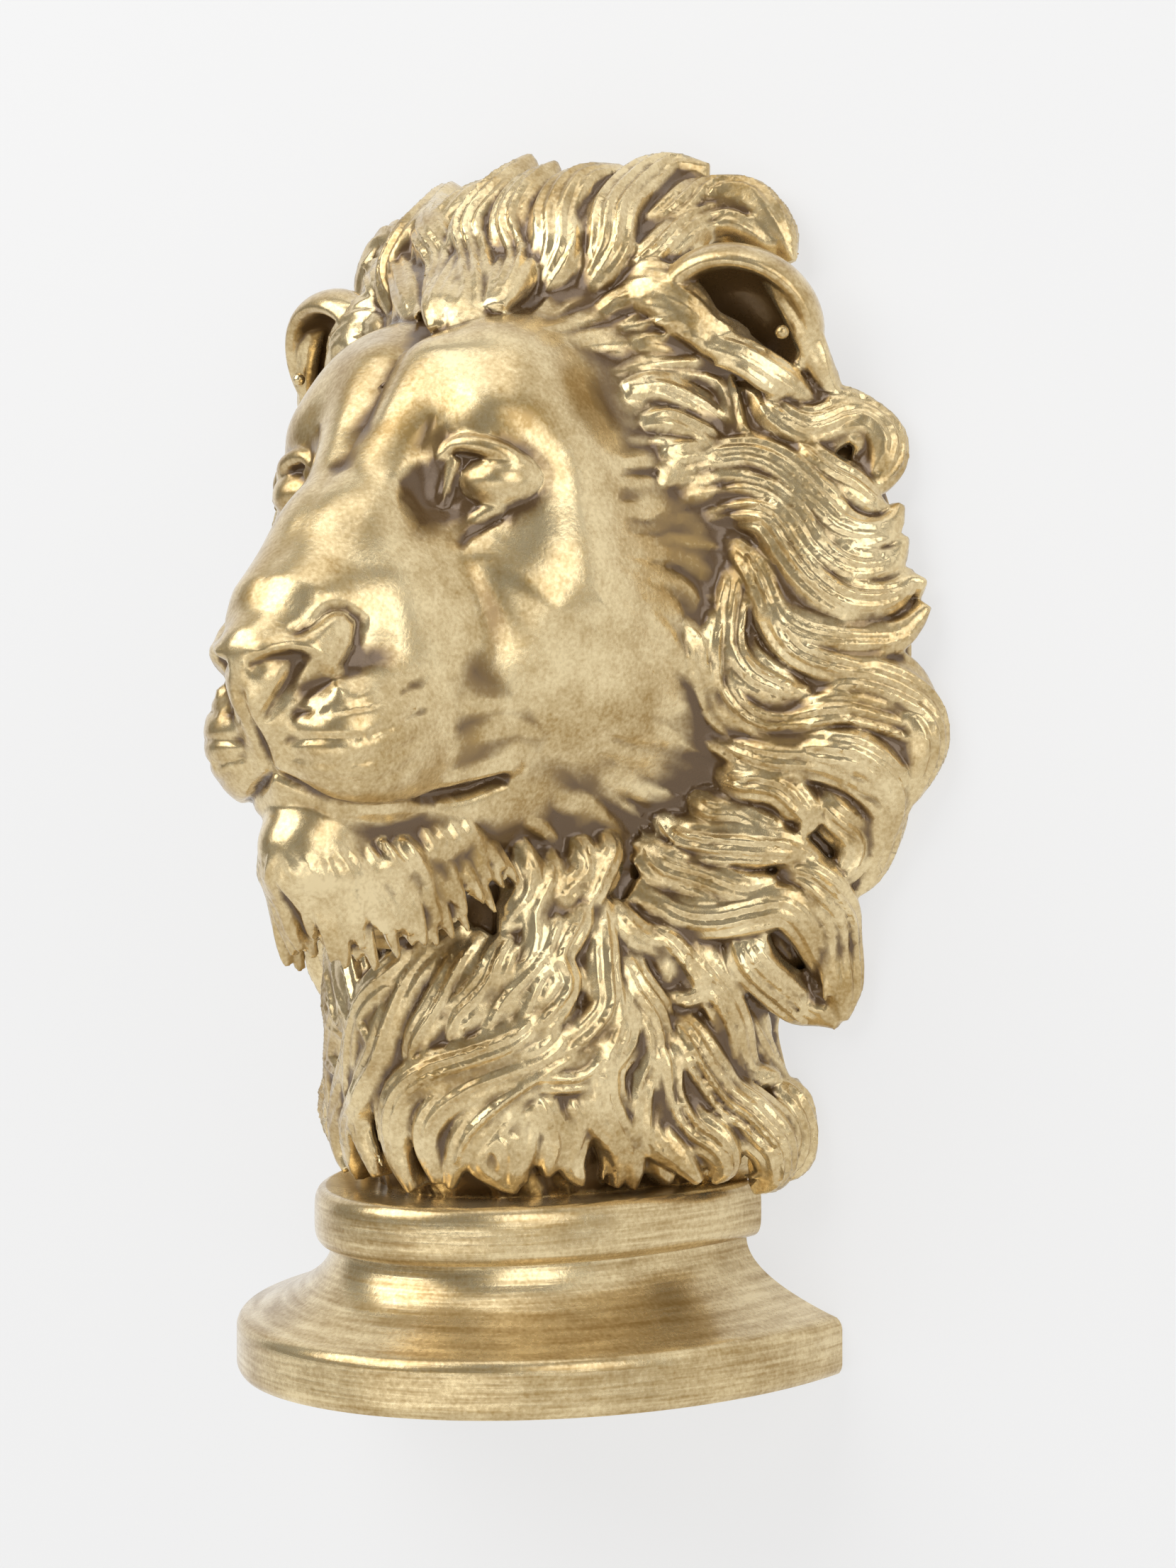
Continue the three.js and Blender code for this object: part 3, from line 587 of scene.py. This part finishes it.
def lock_rings(centres, out, half_width, height, crests, phase, sink):
    """Rings of one lock: a low dome with uneven crests that rises from its root and narrows to its tip."""
    t = np.linspace(0, 1, len(centres))
    ahead = np.gradient(centres, axis=0)
    ahead /= np.maximum(np.linalg.norm(ahead, axis=1, keepdims=True), 1e-9)
    side = np.cross(out, ahead)
    side /= np.maximum(np.linalg.norm(side, axis=1, keepdims=True), 1e-9)
    up = np.cross(ahead, side)
    rise = np.sin(np.clip(t / ROOT_END, 0, 1) * math.pi / 2)
    fall = np.clip((t - TIP_START) / (1 - TIP_START), 0, 1)
    wide = half_width * (ROOT_WIDTH + (1 - ROOT_WIDTH) * rise) * (1 - TIP_WIDTH_LOSS * fall ** 2.4)
    tall = height * (ROOT_HEIGHT + (1 - ROOT_HEIGHT) * rise) * (1 - TIP_HEIGHT_LOSS * fall ** 2)
    count = len(crests)
    u = np.linspace(-1, 1, 7 * count + 3)
    dome = np.sqrt(np.maximum(1 - u * u, 0))
    place = (u[None, :] + 1) / 2 * count + phase * np.sin(3 * math.pi * t)[:, None]
    crest = 0.5 - 0.5 * np.cos(2 * math.pi * place)
    weight = np.interp(np.clip(place - 0.5, 0, count - 1), np.arange(count), crests)
    top = (FURROW + CREST * crest * weight) * dome[None, :] ** 0.85
    upper = (centres[:, None] + side[:, None] * (u[None, :, None] * wide[:, None, None])
             + up[:, None] * ((top * tall[:, None])[..., None] - sink))
    v = np.array([0.6, 0.0, -0.6])
    lower = (centres[:, None] + side[:, None] * (v[None, :, None] * wide[:, None, None])
             - up[:, None] * (sink + 0.8 * height))
    return np.concatenate([upper, lower], axis=1), side, up


def add_lock(sculpture, points, half_width, rng, height=None, crests=None, sink=1.5, strands=0, steps=None):
    """A lock along the given points, with thinner strands that run beside it and over it."""
    length = np.linalg.norm(np.diff(points, axis=0), axis=1).sum()
    steps = steps or max(12, int(length / 2.4))
    centres = spline(points, steps)
    out = slope(mane_distance, centres, 3.0)
    centres += out * np.maximum(-mane_distance(centres), 0)[:, None]
    height = height or half_width * 1.1
    crests = crests or max(2, round(half_width / 2.5))
    rings, side, up = lock_rings(centres, out, half_width, height, rng.uniform(0.55, 1.0, crests),
                                 rng.uniform(-0.4, 0.4), sink)
    sculpture.add_rings(rings)
    t = np.linspace(0, 1, steps)
    for _ in range(strands):
        place = rng.choice([-1, 1]) * rng.uniform(0.8, 1.3)
        sway = rng.uniform(0.1, 0.3) * np.sin(rng.uniform(1.5, 3.5) * math.pi * t + rng.uniform(0, 6.3))
        shift = half_width * (place * (1 - 0.35 * t) + sway)
        over = math.sqrt(max(0.0, 1 - min(abs(place), 1.0) ** 2))
        lifted = height * 0.6 * over * (1 - 0.5 * t)
        path = centres + side * shift[:, None] + up * (lifted - sink)[:, None]
        first = int(rng.uniform(0, 0.35) * steps)
        last = int(rng.uniform(0.72, 1.0) * steps)
        width = rng.uniform(1.6, 2.8)
        thin, _, _ = lock_rings(path[first:last], out[first:last], width, width * 1.25, (1.0,), 0.0, 0.3)
        sculpture.add_rings(thin)


def hair_edge(z):
    """Half the width of the bare face at a height."""
    return np.interp(z, HAIR_EDGE_HEIGHTS, HAIR_EDGE_WIDTHS)


def surface_y(x, z):
    """Where the front of the head lies below its hair, seen from the front."""
    y = np.full(len(x), -230.0)
    for _ in range(200):
        gap = head_distance(np.stack([x, y, z], axis=-1))
        going = (gap > 0.1) & (y < -2)
        if not going.any():
            break
        y[going] += np.maximum(gap[going] * RAY_SHARE, 0.2)
    return np.minimum(y, -2)


def flow_field(locks):
    """Places and directions along the main locks, seen from the front, for the fine strands to follow."""
    places, ways = [], []
    for _, points in locks:
        curve = spline(points, 14)[:, [0, 2]]
        run = np.gradient(curve, axis=0)
        places.append(curve)
        ways.append(run / np.maximum(np.linalg.norm(run, axis=1, keepdims=True), 1e-9))
    return np.vstack(places), np.vstack(ways)


def follow_flow(start, places, ways, steps, stride):
    """Curves that follow the flow of the main locks from each starting place, seen from the front."""
    path = [start]
    here = start.copy()
    for _ in range(steps):
        gap = ((here[:, None] - places[None]) ** 2).sum(-1)
        weight = np.exp(-gap / (2 * 9.0 ** 2)) + 1e-12
        way = (weight[..., None] * ways[None]).sum(1)
        way /= np.maximum(np.linalg.norm(way, axis=1, keepdims=True), 1e-9)
        here = here + way * stride
        path.append(here.copy())
    return np.stack(path, axis=1)


def add_strands(sculpture, paths, widths, rng):
    """Thin locks on both sides along paths seen from the front, cut short at the outline of the head."""
    x, z = paths[..., 0], paths[..., 1]
    inner = mane_distance(np.stack([x, np.full(x.shape, OUTLINE_Y), z], axis=-1)) < 0
    y = surface_y(x.ravel(), z.ravel()).reshape(x.shape)
    for path, on_head, width in zip(np.stack([x, y, z], axis=-1), inner, widths):
        last = len(path) if on_head.all() else int(np.argmin(on_head))
        if last < 5:
            continue
        points = path[:last]
        points[1:-1] = (points[:-2] + points[1:-1] * 2 + points[2:]) / 4
        for side in (1, -1):
            add_lock(sculpture, points * (side, 1, 1), width, rng, height=width * 0.8, crests=2, sink=0.6,
                     steps=16)


def add_fine_strands(sculpture, rng):
    """Strands between the main locks and along the edge of the bare face."""
    places, ways = flow_field(MANE_LOCKS + NEAR_LOCKS)
    x = rng.uniform(0, HAIR_REACH, STRANDS * 3)
    z = rng.uniform(HAIR_LOW, HAIR_HIGH, STRANDS * 3)
    outline = mane_distance(np.stack([x, np.full(len(x), OUTLINE_Y), z], axis=-1)) < 0
    bare = (x < hair_edge(z)) & (z > FACE_LOW) & (z < FACE_HIGH)
    under_chin = (z >= CHIN_LOW) & (z <= FACE_LOW) & (x < CHIN_HALF_WIDTH)
    start = np.stack([x, z], axis=1)[outline & ~bare & ~under_chin][:STRANDS]
    paths = follow_flow(start, places, ways, 12, 4.2)
    add_strands(sculpture, paths, rng.uniform(2.4, 4.2, len(start)), rng)

    # Strands that start on the bare skin, so that the hair grows out of the face
    z = np.arange(FACE_LOW + 2, FACE_HIGH + 2, HAIRLINE_STEP) + rng.uniform(-0.6, 0.6)
    start = np.stack([hair_edge(z) - rng.uniform(-3, 7, len(z)), z], axis=1)
    paths = follow_flow(start, places, ways, 10, 4.0)
    add_strands(sculpture, paths, rng.uniform(1.8, 3.4, len(start)), rng)


def add_beard(sculpture, rng):
    """Tufts that hang from the chin and the jaw and hook forwards at their tips."""
    rows = [spline(row, 60) for row in (BEARD_ROOTS, BEARD_BENDS, BEARD_TIPS)]
    for side in (1, -1):
        for k in range(BEARD_TUFTS):
            t = (k + 0.5) / BEARD_TUFTS
            shares = np.clip([t - 0.02, t + 0.035, t + 0.01 + rng.uniform(-0.02, 0.02)], 0, 1)
            root, bend, tip = [row[int(share * 59)] for row, share in zip(rows, shares)]
            root, middle, bend = snapped([root, (np.array(root) + bend) / 2, bend])
            for layer in (0, 1):
                end = tip + (0, 8 * layer, rng.uniform(-6, 5) - 2 * layer)
                points = np.array([root, middle, bend + np.array([0, 5 * layer, 0]), end])
                add_lock(sculpture, points * (side, 1, 1), rng.uniform(2.7, 3.5), rng, height=4.4, crests=1,
                         sink=0.6, strands=1)


def add_eye(sculpture, side):
    """The folds round one eye, as round bars of changing thickness."""
    turn = np.linspace(0, 2 * math.pi, 16, endpoint=False)[None, :, None]
    for radii, points in EYE_FOLDS:
        centres = spline(np.array(points) * (side, 1, 1), 40)
        radius = np.interp(np.linspace(0, 1, 40), np.linspace(0, 1, len(radii)), radii)[:, None, None]
        ahead = np.gradient(centres, axis=0)
        ahead /= np.linalg.norm(ahead, axis=1, keepdims=True)
        across = np.cross(ahead, (0, -1, 0))
        across /= np.linalg.norm(across, axis=1, keepdims=True)
        up = np.cross(across, ahead)
        around = across[:, None] * np.cos(turn) + up[:, None] * np.sin(turn)
        sculpture.add_rings(centres[:, None] + radius * around)


def add_ear(sculpture, side, rng):
    """A dished oval with a thick rolled rim, its hollow turned forwards and outwards."""
    turn = np.linspace(0, 2 * math.pi, 72, endpoint=False)
    rings = []
    for share, depth, _ in spline(EAR_PROFILE, 44)[1:-1]:
        across = EAR_HALF_WIDTH * share * np.cos(turn)
        high = EAR_HALF_HEIGHT * share * np.sin(turn)
        rings.append(np.stack([across, np.full(len(turn), depth), high], axis=1))
    lean, pitch, yaw = np.radians(EAR_LEAN * side), np.radians(EAR_PITCH), np.radians(EAR_YAW * side)
    about_y = [[math.cos(lean), 0, math.sin(lean)], [0, 1, 0], [-math.sin(lean), 0, math.cos(lean)]]
    about_x = [[1, 0, 0], [0, math.cos(pitch), -math.sin(pitch)], [0, math.sin(pitch), math.cos(pitch)]]
    about_z = [[math.cos(yaw), -math.sin(yaw), 0], [math.sin(yaw), math.cos(yaw), 0], [0, 0, 1]]
    turned = (np.array(about_z) @ np.array(about_x) @ np.array(about_y)).T
    sculpture.add_rings(np.array(rings) @ turned + np.array(EAR_PLACE) * (side, 1, 1))
    width, tail = EAR_TAIL
    add_lock(sculpture, np.array(tail) * (side, 1, 1), width, rng, height=width, crests=1, sink=0)
    for width, points in EAR_LOCKS:
        add_lock(sculpture, np.array(points) * (side, 1, 1), width, rng, height=0.9 * width, strands=2)
    middle, size = EAR_BEAD
    turn = np.linspace(0, 2 * math.pi, 12, endpoint=False)
    lifts = np.radians(np.linspace(-80, 80, 9))[:, None]
    around = np.cos(lifts)
    up = np.broadcast_to(np.sin(lifts), (len(lifts), len(turn)))
    bead = np.stack([around * np.cos(turn), around * np.sin(turn), up], axis=-1)
    sculpture.add_rings(bead * size + np.array(middle) * (side, 1, 1))


def plinth_size(z):
    """Half width and depth of the plinth at a height: foot, hollow curve, crease and collar."""
    if z <= FOOT_HEIGHT:
        from_edge = min(z + 2, FOOT_HEIGHT - z)
        rounding = min(max(1 - from_edge / FOOT_ROUNDING, 0), 1)
        inset = FOOT_ROUNDING * (1 - math.sqrt(1 - rounding * rounding))
        return FOOT_HALF_WIDTH - inset, FOOT_DEPTH - inset
    if z <= WAIST_HEIGHT:
        curve = (1 - (z - FOOT_HEIGHT) / (WAIST_HEIGHT - FOOT_HEIGHT)) ** 2.1
        return (WAIST_HALF_WIDTH + (FOOT_HALF_WIDTH - FOOT_ROUNDING - WAIST_HALF_WIDTH) * curve,
                WAIST_DEPTH + (FOOT_DEPTH - FOOT_ROUNDING - WAIST_DEPTH) * curve)
    t = (z - WAIST_HEIGHT) / (COLLAR_TOP - WAIST_HEIGHT)
    bulge = CREASE + (COLLAR_BULGE - CREASE) * math.sqrt(max(0, 1 - (2 * t - 1) ** 4))
    return WAIST_HALF_WIDTH + bulge, WAIST_DEPTH + bulge


def plinth_rings():
    """Half ovals up the plinth, each closed behind the wall."""
    foot = np.linspace(0, FOOT_HEIGHT, 22)
    curve = np.linspace(FOOT_HEIGHT + 0.01, WAIST_HEIGHT, 24)
    share = 0.5 - 0.5 * np.cos(np.linspace(0.03, math.pi, 22))
    collar = WAIST_HEIGHT + (COLLAR_TOP - WAIST_HEIGHT) * share
    heights = np.concatenate([foot, curve, collar])
    angles = np.radians(np.linspace(-90, 90, 121))
    rings = []
    for z in heights:
        half, depth = plinth_size(float(z))
        r = 1 / np.hypot(np.sin(angles) / half, np.cos(angles) / depth)
        ring = np.stack([r * np.sin(angles), -r * np.cos(angles), np.full(len(angles), z)], axis=1)
        ring = np.vstack([ring, [half, BACK_MARGIN, z], [-half, BACK_MARGIN, z]])
        rings.append(ring)
    return np.array(rings)


def object_from(mesh, name):
    piece = bpy.data.objects.new(name, mesh)
    bpy.context.scene.collection.objects.link(piece)
    return piece


def apply_modifiers(piece):
    """Replaces a piece's mesh by the one that its modifiers give."""
    graph = bpy.context.evaluated_depsgraph_get()
    fresh = bpy.data.meshes.new_from_object(piece.evaluated_get(graph))
    old = piece.data
    piece.modifiers.clear()
    piece.data = fresh
    bpy.data.meshes.remove(old)


def combine(piece, other, operation):
    """Adds another closed skin to a piece, or cuts it away."""
    modifier = piece.modifiers.new("combine", "BOOLEAN")
    modifier.operation = operation
    modifier.solver = "MANIFOLD"
    modifier.object = other
    apply_modifiers(piece)
    bpy.data.objects.remove(other)


def triangle_count(mesh):
    mesh.calc_loop_triangles()
    return len(mesh.loop_triangles)


def cast_piece():
    """The whole casting: head, ears, hair and plinth fused, with a flat back."""
    rng = np.random.default_rng(SEED)
    sculpture = Sculpture()
    sculpture.add_rings(head_rings())
    add_fine_strands(sculpture, rng)
    add_beard(sculpture, rng)
    for side in (1, -1):
        add_eye(sculpture, side)
        add_ear(sculpture, side, rng)
        for half_width, points in MANE_LOCKS:
            add_lock(sculpture, np.array(points) * (side, 1, 1), half_width, rng, strands=2)
    for half_width, points in NEAR_LOCKS + FAR_LOCKS:
        add_lock(sculpture, np.array(points, float), half_width, rng, strands=2)
    piece = object_from(sculpture.mesh("casting"), "lion_head_casting")
    remesh = piece.modifiers.new("fuse", "REMESH")
    remesh.mode = "VOXEL"
    remesh.voxel_size = VOXEL
    remesh.adaptivity = 0
    apply_modifiers(piece)
    soften = piece.modifiers.new("soften", "SMOOTH")
    soften.factor = 0.35
    soften.iterations = 1
    thin = piece.modifiers.new("thin", "DECIMATE")
    thin.ratio = min(1.0, TRIANGLES / triangle_count(piece.data))
    apply_modifiers(piece)
    plinth = Sculpture()
    plinth.add_rings(plinth_rings())
    combine(piece, object_from(plinth.mesh("plinth"), "plinth_part"), "UNION")
    behind = Sculpture()
    corners = np.array([(-400, 0), (400, 0), (400, 100), (-400, 100)], float)
    behind.add_rings(np.array([[(x, y, z) for x, y in corners] for z in (-100, 700)], float))
    combine(piece, object_from(behind.mesh("behind"), "behind_wall"), "DIFFERENCE")
    return piece


def mesh_arrays(mesh):
    """A mesh's points, the normals at them, and its edges."""
    points = np.zeros(len(mesh.vertices) * 3)
    mesh.vertices.foreach_get("co", points)
    normals = np.zeros(len(mesh.vertices) * 3)
    mesh.vertices.foreach_get("normal", normals)
    edges = np.zeros(len(mesh.edges) * 2, int)
    mesh.edges.foreach_get("vertices", edges)
    return points.reshape(-1, 3), normals.reshape(-1, 3), edges.reshape(-1, 2)


def hollowness(mesh, rounds, scale):
    """How far each place lies below its smoothed surroundings, from 0 to 1."""
    points, normals, edges = mesh_arrays(mesh)
    smooth = points.copy()
    ends = np.bincount(edges.ravel(), minlength=len(points)).astype(float)[:, None]
    for _ in range(rounds):
        total = np.zeros_like(smooth)
        for k in range(3):
            total[:, k] = (np.bincount(edges[:, 0], smooth[edges[:, 1], k], len(points))
                           + np.bincount(edges[:, 1], smooth[edges[:, 0], k], len(points)))
        smooth = 0.5 * smooth + 0.5 * total / np.maximum(ends, 1)
    below = ((smooth - points) * normals).sum(1)[:, None]
    for _ in range(2):
        total = (np.bincount(edges[:, 0], below[edges[:, 1], 0], len(points))
                 + np.bincount(edges[:, 1], below[edges[:, 0], 0], len(points)))
        below = 0.4 * below + 0.6 * total[:, None] / np.maximum(ends, 1)
    return below[:, 0] / scale


def add_attribute(mesh, name, values):
    attribute = mesh.attributes.new(name, "FLOAT", "POINT")
    attribute.data.foreach_set("value", values.astype(np.float32))


def fit_inside(mesh):
    """Brings the few outermost points inside the CAD box and moves the piece to the shared frame."""
    points = mesh_arrays(mesh)[0] * MM
    points[:, 1] += WALL
    points = np.clip(points, np.array(CAD_LOW), np.array(CAD_HIGH))
    mesh.vertices.foreach_set("co", points.ravel())
    mesh.validate()
    mesh.update()


def node(tree, kind, **values):
    made = tree.nodes.new(kind)
    for key, value in values.items():
        setattr(made, key, value)
    return made


def antique_gold():
    """Gold paint, rubbed bright, with tarnish in blotches and umber in the hollows."""
    material = bpy.data.materials.new("antique_gold")
    material.use_nodes = True
    tree = material.node_tree
    tree.nodes.clear()
    link = tree.links.new
    output = node(tree, "ShaderNodeOutputMaterial")
    gloss = node(tree, "ShaderNodeBsdfPrincipled")
    gloss.inputs["Coat Weight"].default_value = 0.5
    gloss.inputs["Coat Roughness"].default_value = 0.16
    link(gloss.outputs["BSDF"], output.inputs["Surface"])
    coords = node(tree, "ShaderNodeTexCoord")

    mottle = node(tree, "ShaderNodeTexNoise")
    mottle.inputs["Scale"].default_value = 26
    mottle.inputs["Detail"].default_value = 8
    mottle.inputs["Roughness"].default_value = 0.68
    link(coords.outputs["Object"], mottle.inputs["Vector"])

    grain = node(tree, "ShaderNodeTexNoise")
    grain.inputs["Scale"].default_value = 620
    grain.inputs["Detail"].default_value = 4
    link(coords.outputs["Object"], grain.inputs["Vector"])

    stretch = node(tree, "ShaderNodeMapping")
    stretch.inputs["Scale"].default_value = (26, 26, 620)
    link(coords.outputs["Object"], stretch.inputs["Vector"])
    brushed = node(tree, "ShaderNodeTexNoise")
    brushed.inputs["Scale"].default_value = 1
    brushed.inputs["Detail"].default_value = 5
    link(stretch.outputs["Vector"], brushed.inputs["Vector"])

    hollow = node(tree, "ShaderNodeAttribute", attribute_type="GEOMETRY", attribute_name="hollow")
    plinth = node(tree, "ShaderNodeAttribute", attribute_type="GEOMETRY", attribute_name="plinth")

    # Tarnish lies in blotches broken up by the grain, and in streaks on the plinth
    blotches = node(tree, "ShaderNodeMix", data_type="FLOAT")
    faint = node(tree, "ShaderNodeMath", operation="MULTIPLY")
    faint.inputs[1].default_value = 0.6
    link(plinth.outputs["Fac"], faint.inputs[0])
    link(faint.outputs[0], blotches.inputs["Factor"])
    link(mottle.outputs["Fac"], blotches.inputs["A"])
    link(brushed.outputs["Fac"], blotches.inputs["B"])
    broken = node(tree, "ShaderNodeMath", operation="MULTIPLY_ADD")
    broken.inputs[1].default_value = 0.35
    link(grain.outputs["Fac"], broken.inputs[0])
    link(blotches.outputs["Result"], broken.inputs[2])
    tarnish = node(tree, "ShaderNodeMapRange")
    tarnish.inputs["From Min"].default_value = 0.54
    tarnish.inputs["From Max"].default_value = 0.84
    link(broken.outputs[0], tarnish.inputs["Value"])

    stain = node(tree, "ShaderNodeMath", operation="MULTIPLY_ADD")
    stain.inputs[1].default_value = 0.35
    link(mottle.outputs["Fac"], stain.inputs[0])
    link(hollow.outputs["Fac"], stain.inputs[2])
    patina = node(tree, "ShaderNodeMapRange")
    patina.inputs["From Min"].default_value = 0.25
    patina.inputs["From Max"].default_value = 0.80
    link(stain.outputs[0], patina.inputs["Value"])

    aged = node(tree, "ShaderNodeMix", data_type="RGBA")
    aged.inputs["A"].default_value = BRIGHT_GOLD
    aged.inputs["B"].default_value = DULL_GOLD
    dulled = node(tree, "ShaderNodeMath", operation="MULTIPLY_ADD", use_clamp=True)
    dulled.inputs[1].default_value = 0.7
    link(patina.outputs["Result"], dulled.inputs[0])
    link(tarnish.outputs["Result"], dulled.inputs[2])
    link(dulled.outputs[0], aged.inputs["Factor"])
    colour = node(tree, "ShaderNodeMix", data_type="RGBA")
    link(aged.outputs["Result"], colour.inputs["A"])
    colour.inputs["B"].default_value = UMBER
    link(patina.outputs["Result"], colour.inputs["Factor"])
    link(colour.outputs["Result"], gloss.inputs["Base Color"])

    metal = node(tree, "ShaderNodeMapRange")
    metal.inputs["To Min"].default_value = 0.85
    metal.inputs["To Max"].default_value = 0.3
    link(patina.outputs["Result"], metal.inputs["Value"])
    link(metal.outputs["Result"], gloss.inputs["Metallic"])

    rough = node(tree, "ShaderNodeMath", operation="MULTIPLY_ADD")
    rough.inputs[1].default_value = 0.14
    rough.inputs[2].default_value = 0.22
    link(tarnish.outputs["Result"], rough.inputs[0])
    link(rough.outputs[0], gloss.inputs["Roughness"])

    streak = node(tree, "ShaderNodeMath", operation="MULTIPLY")
    link(brushed.outputs["Fac"], streak.inputs[0])
    link(faint.outputs[0], streak.inputs[1])
    relief = node(tree, "ShaderNodeMath", operation="MULTIPLY_ADD")
    relief.inputs[1].default_value = 0.35
    link(grain.outputs["Fac"], relief.inputs[0])
    link(streak.outputs[0], relief.inputs[2])
    bump = node(tree, "ShaderNodeBump")
    bump.inputs["Strength"].default_value = 0.35
    bump.inputs["Distance"].default_value = 0.0006
    link(relief.outputs[0], bump.inputs["Height"])
    link(bump.outputs["Normal"], gloss.inputs["Normal"])
    return material


def pale_paint(name):
    """Matt paint with a faint glow of its own: painted light that keeps the shadows on it light."""
    material = bpy.data.materials.new(name)
    material.use_nodes = True
    gloss = material.node_tree.nodes["Principled BSDF"]
    gloss.inputs["Base Color"].default_value = PALE_PAINT
    gloss.inputs["Roughness"].default_value = 0.8
    gloss.inputs["Emission Color"].default_value = (1, 1, 1, 1)
    gloss.inputs["Emission Strength"].default_value = PAINT_GLOW
    return material


def open_from_behind(material):
    """Lets a wall be seen from its front alone, so that the flat back of the mask shows from behind."""
    tree = material.node_tree
    sides = node(tree, "ShaderNodeNewGeometry")
    clear = node(tree, "ShaderNodeBsdfTransparent")
    either = node(tree, "ShaderNodeMixShader")
    tree.links.new(sides.outputs["Backfacing"], either.inputs["Fac"])
    tree.links.new(tree.nodes["Principled BSDF"].outputs["BSDF"], either.inputs[1])
    tree.links.new(clear.outputs["BSDF"], either.inputs[2])
    tree.links.new(either.outputs["Shader"], tree.nodes["Material Output"].inputs["Surface"])
    return material


def flat_sheet(name, corners, material):
    """One flat face of the stage."""
    mesh = bpy.data.meshes.new(name)
    mesh.from_pydata(corners, [], [tuple(range(len(corners)))])
    mesh.materials.append(material)
    piece = object_from(mesh, name)


def add_lamp(name, place, size, power):
    data = bpy.data.lights.new(name, "AREA")
    data.shape = "RECTANGLE"
    data.size, data.size_y = size
    data.energy = power
    lamp = bpy.data.objects.new(name, data)
    bpy.context.scene.collection.objects.link(lamp)
    lamp.location = place
    lamp.rotation_euler = (Vector(LAMP_TARGET) - Vector(place)).to_track_quat("-Z", "Y").to_euler()


casting = cast_piece()
mesh = casting.data
fit_inside(mesh)
hollow = np.zeros(len(mesh.vertices))
for rounds, depth, least, share in HOLLOWS:
    hollow += np.clip(hollowness(mesh, rounds, depth), least, 1) * share
hollow = np.clip(hollow, 0, 1)
height = mesh_arrays(mesh)[0][:, 2]
on_plinth = height < COLLAR_TOP * MM + 0.0005
add_attribute(mesh, "hollow", np.where(on_plinth, PLINTH_HOLLOW, hollow))
add_attribute(mesh, "plinth", on_plinth.astype(float))
mesh.materials.clear()
mesh.materials.append(antique_gold())
mesh.polygons.foreach_set("use_smooth", np.ones(len(mesh.polygons), bool))
mesh.polygons.foreach_set("material_index", np.zeros(len(mesh.polygons), int))
mesh.set_sharp_from_angle(angle=math.radians(50))
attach(casting, "root")
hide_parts("lion_head_mask")

# Stage: the wall that the mask hangs on, and a floor well below it
behind = WALL + WALL_GAP
wall_corners = [(-STAGE_REACH, behind, STAGE_FLOOR), (STAGE_REACH, behind, STAGE_FLOOR),
                (STAGE_REACH, behind, STAGE_REACH), (-STAGE_REACH, behind, STAGE_REACH)]
floor_corners = [(-STAGE_REACH, -STAGE_DEPTH, STAGE_FLOOR), (STAGE_REACH, -STAGE_DEPTH, STAGE_FLOOR),
                 (STAGE_REACH, WALL, STAGE_FLOOR), (-STAGE_REACH, WALL, STAGE_FLOOR)]
flat_sheet("wall", wall_corners, open_from_behind(pale_paint("wall_paint")))
flat_sheet("floor", floor_corners, pale_paint("pale_paint"))

world = bpy.data.worlds.new("studio")
world.use_nodes = True
world.node_tree.nodes["Background"].inputs["Color"].default_value = AIR
world.node_tree.nodes["Background"].inputs["Strength"].default_value = 1.0
bpy.context.scene.world = world
for lamp in LAMPS:
    add_lamp(*lamp)

camera_data = bpy.data.cameras.new("camera")
camera_data.sensor_fit = "VERTICAL"
camera_data.sensor_height = 36
camera_data.sensor_width = 27
camera_data.lens = CAMERA_LENS
camera = bpy.data.objects.new("camera", camera_data)
bpy.context.scene.collection.objects.link(camera)
camera.location = CAMERA_PLACE
camera.rotation_euler = (math.radians(90), 0, math.radians(CAMERA_TURN))
bpy.context.scene.camera = camera
bpy.context.scene.view_settings.view_transform = "Standard"
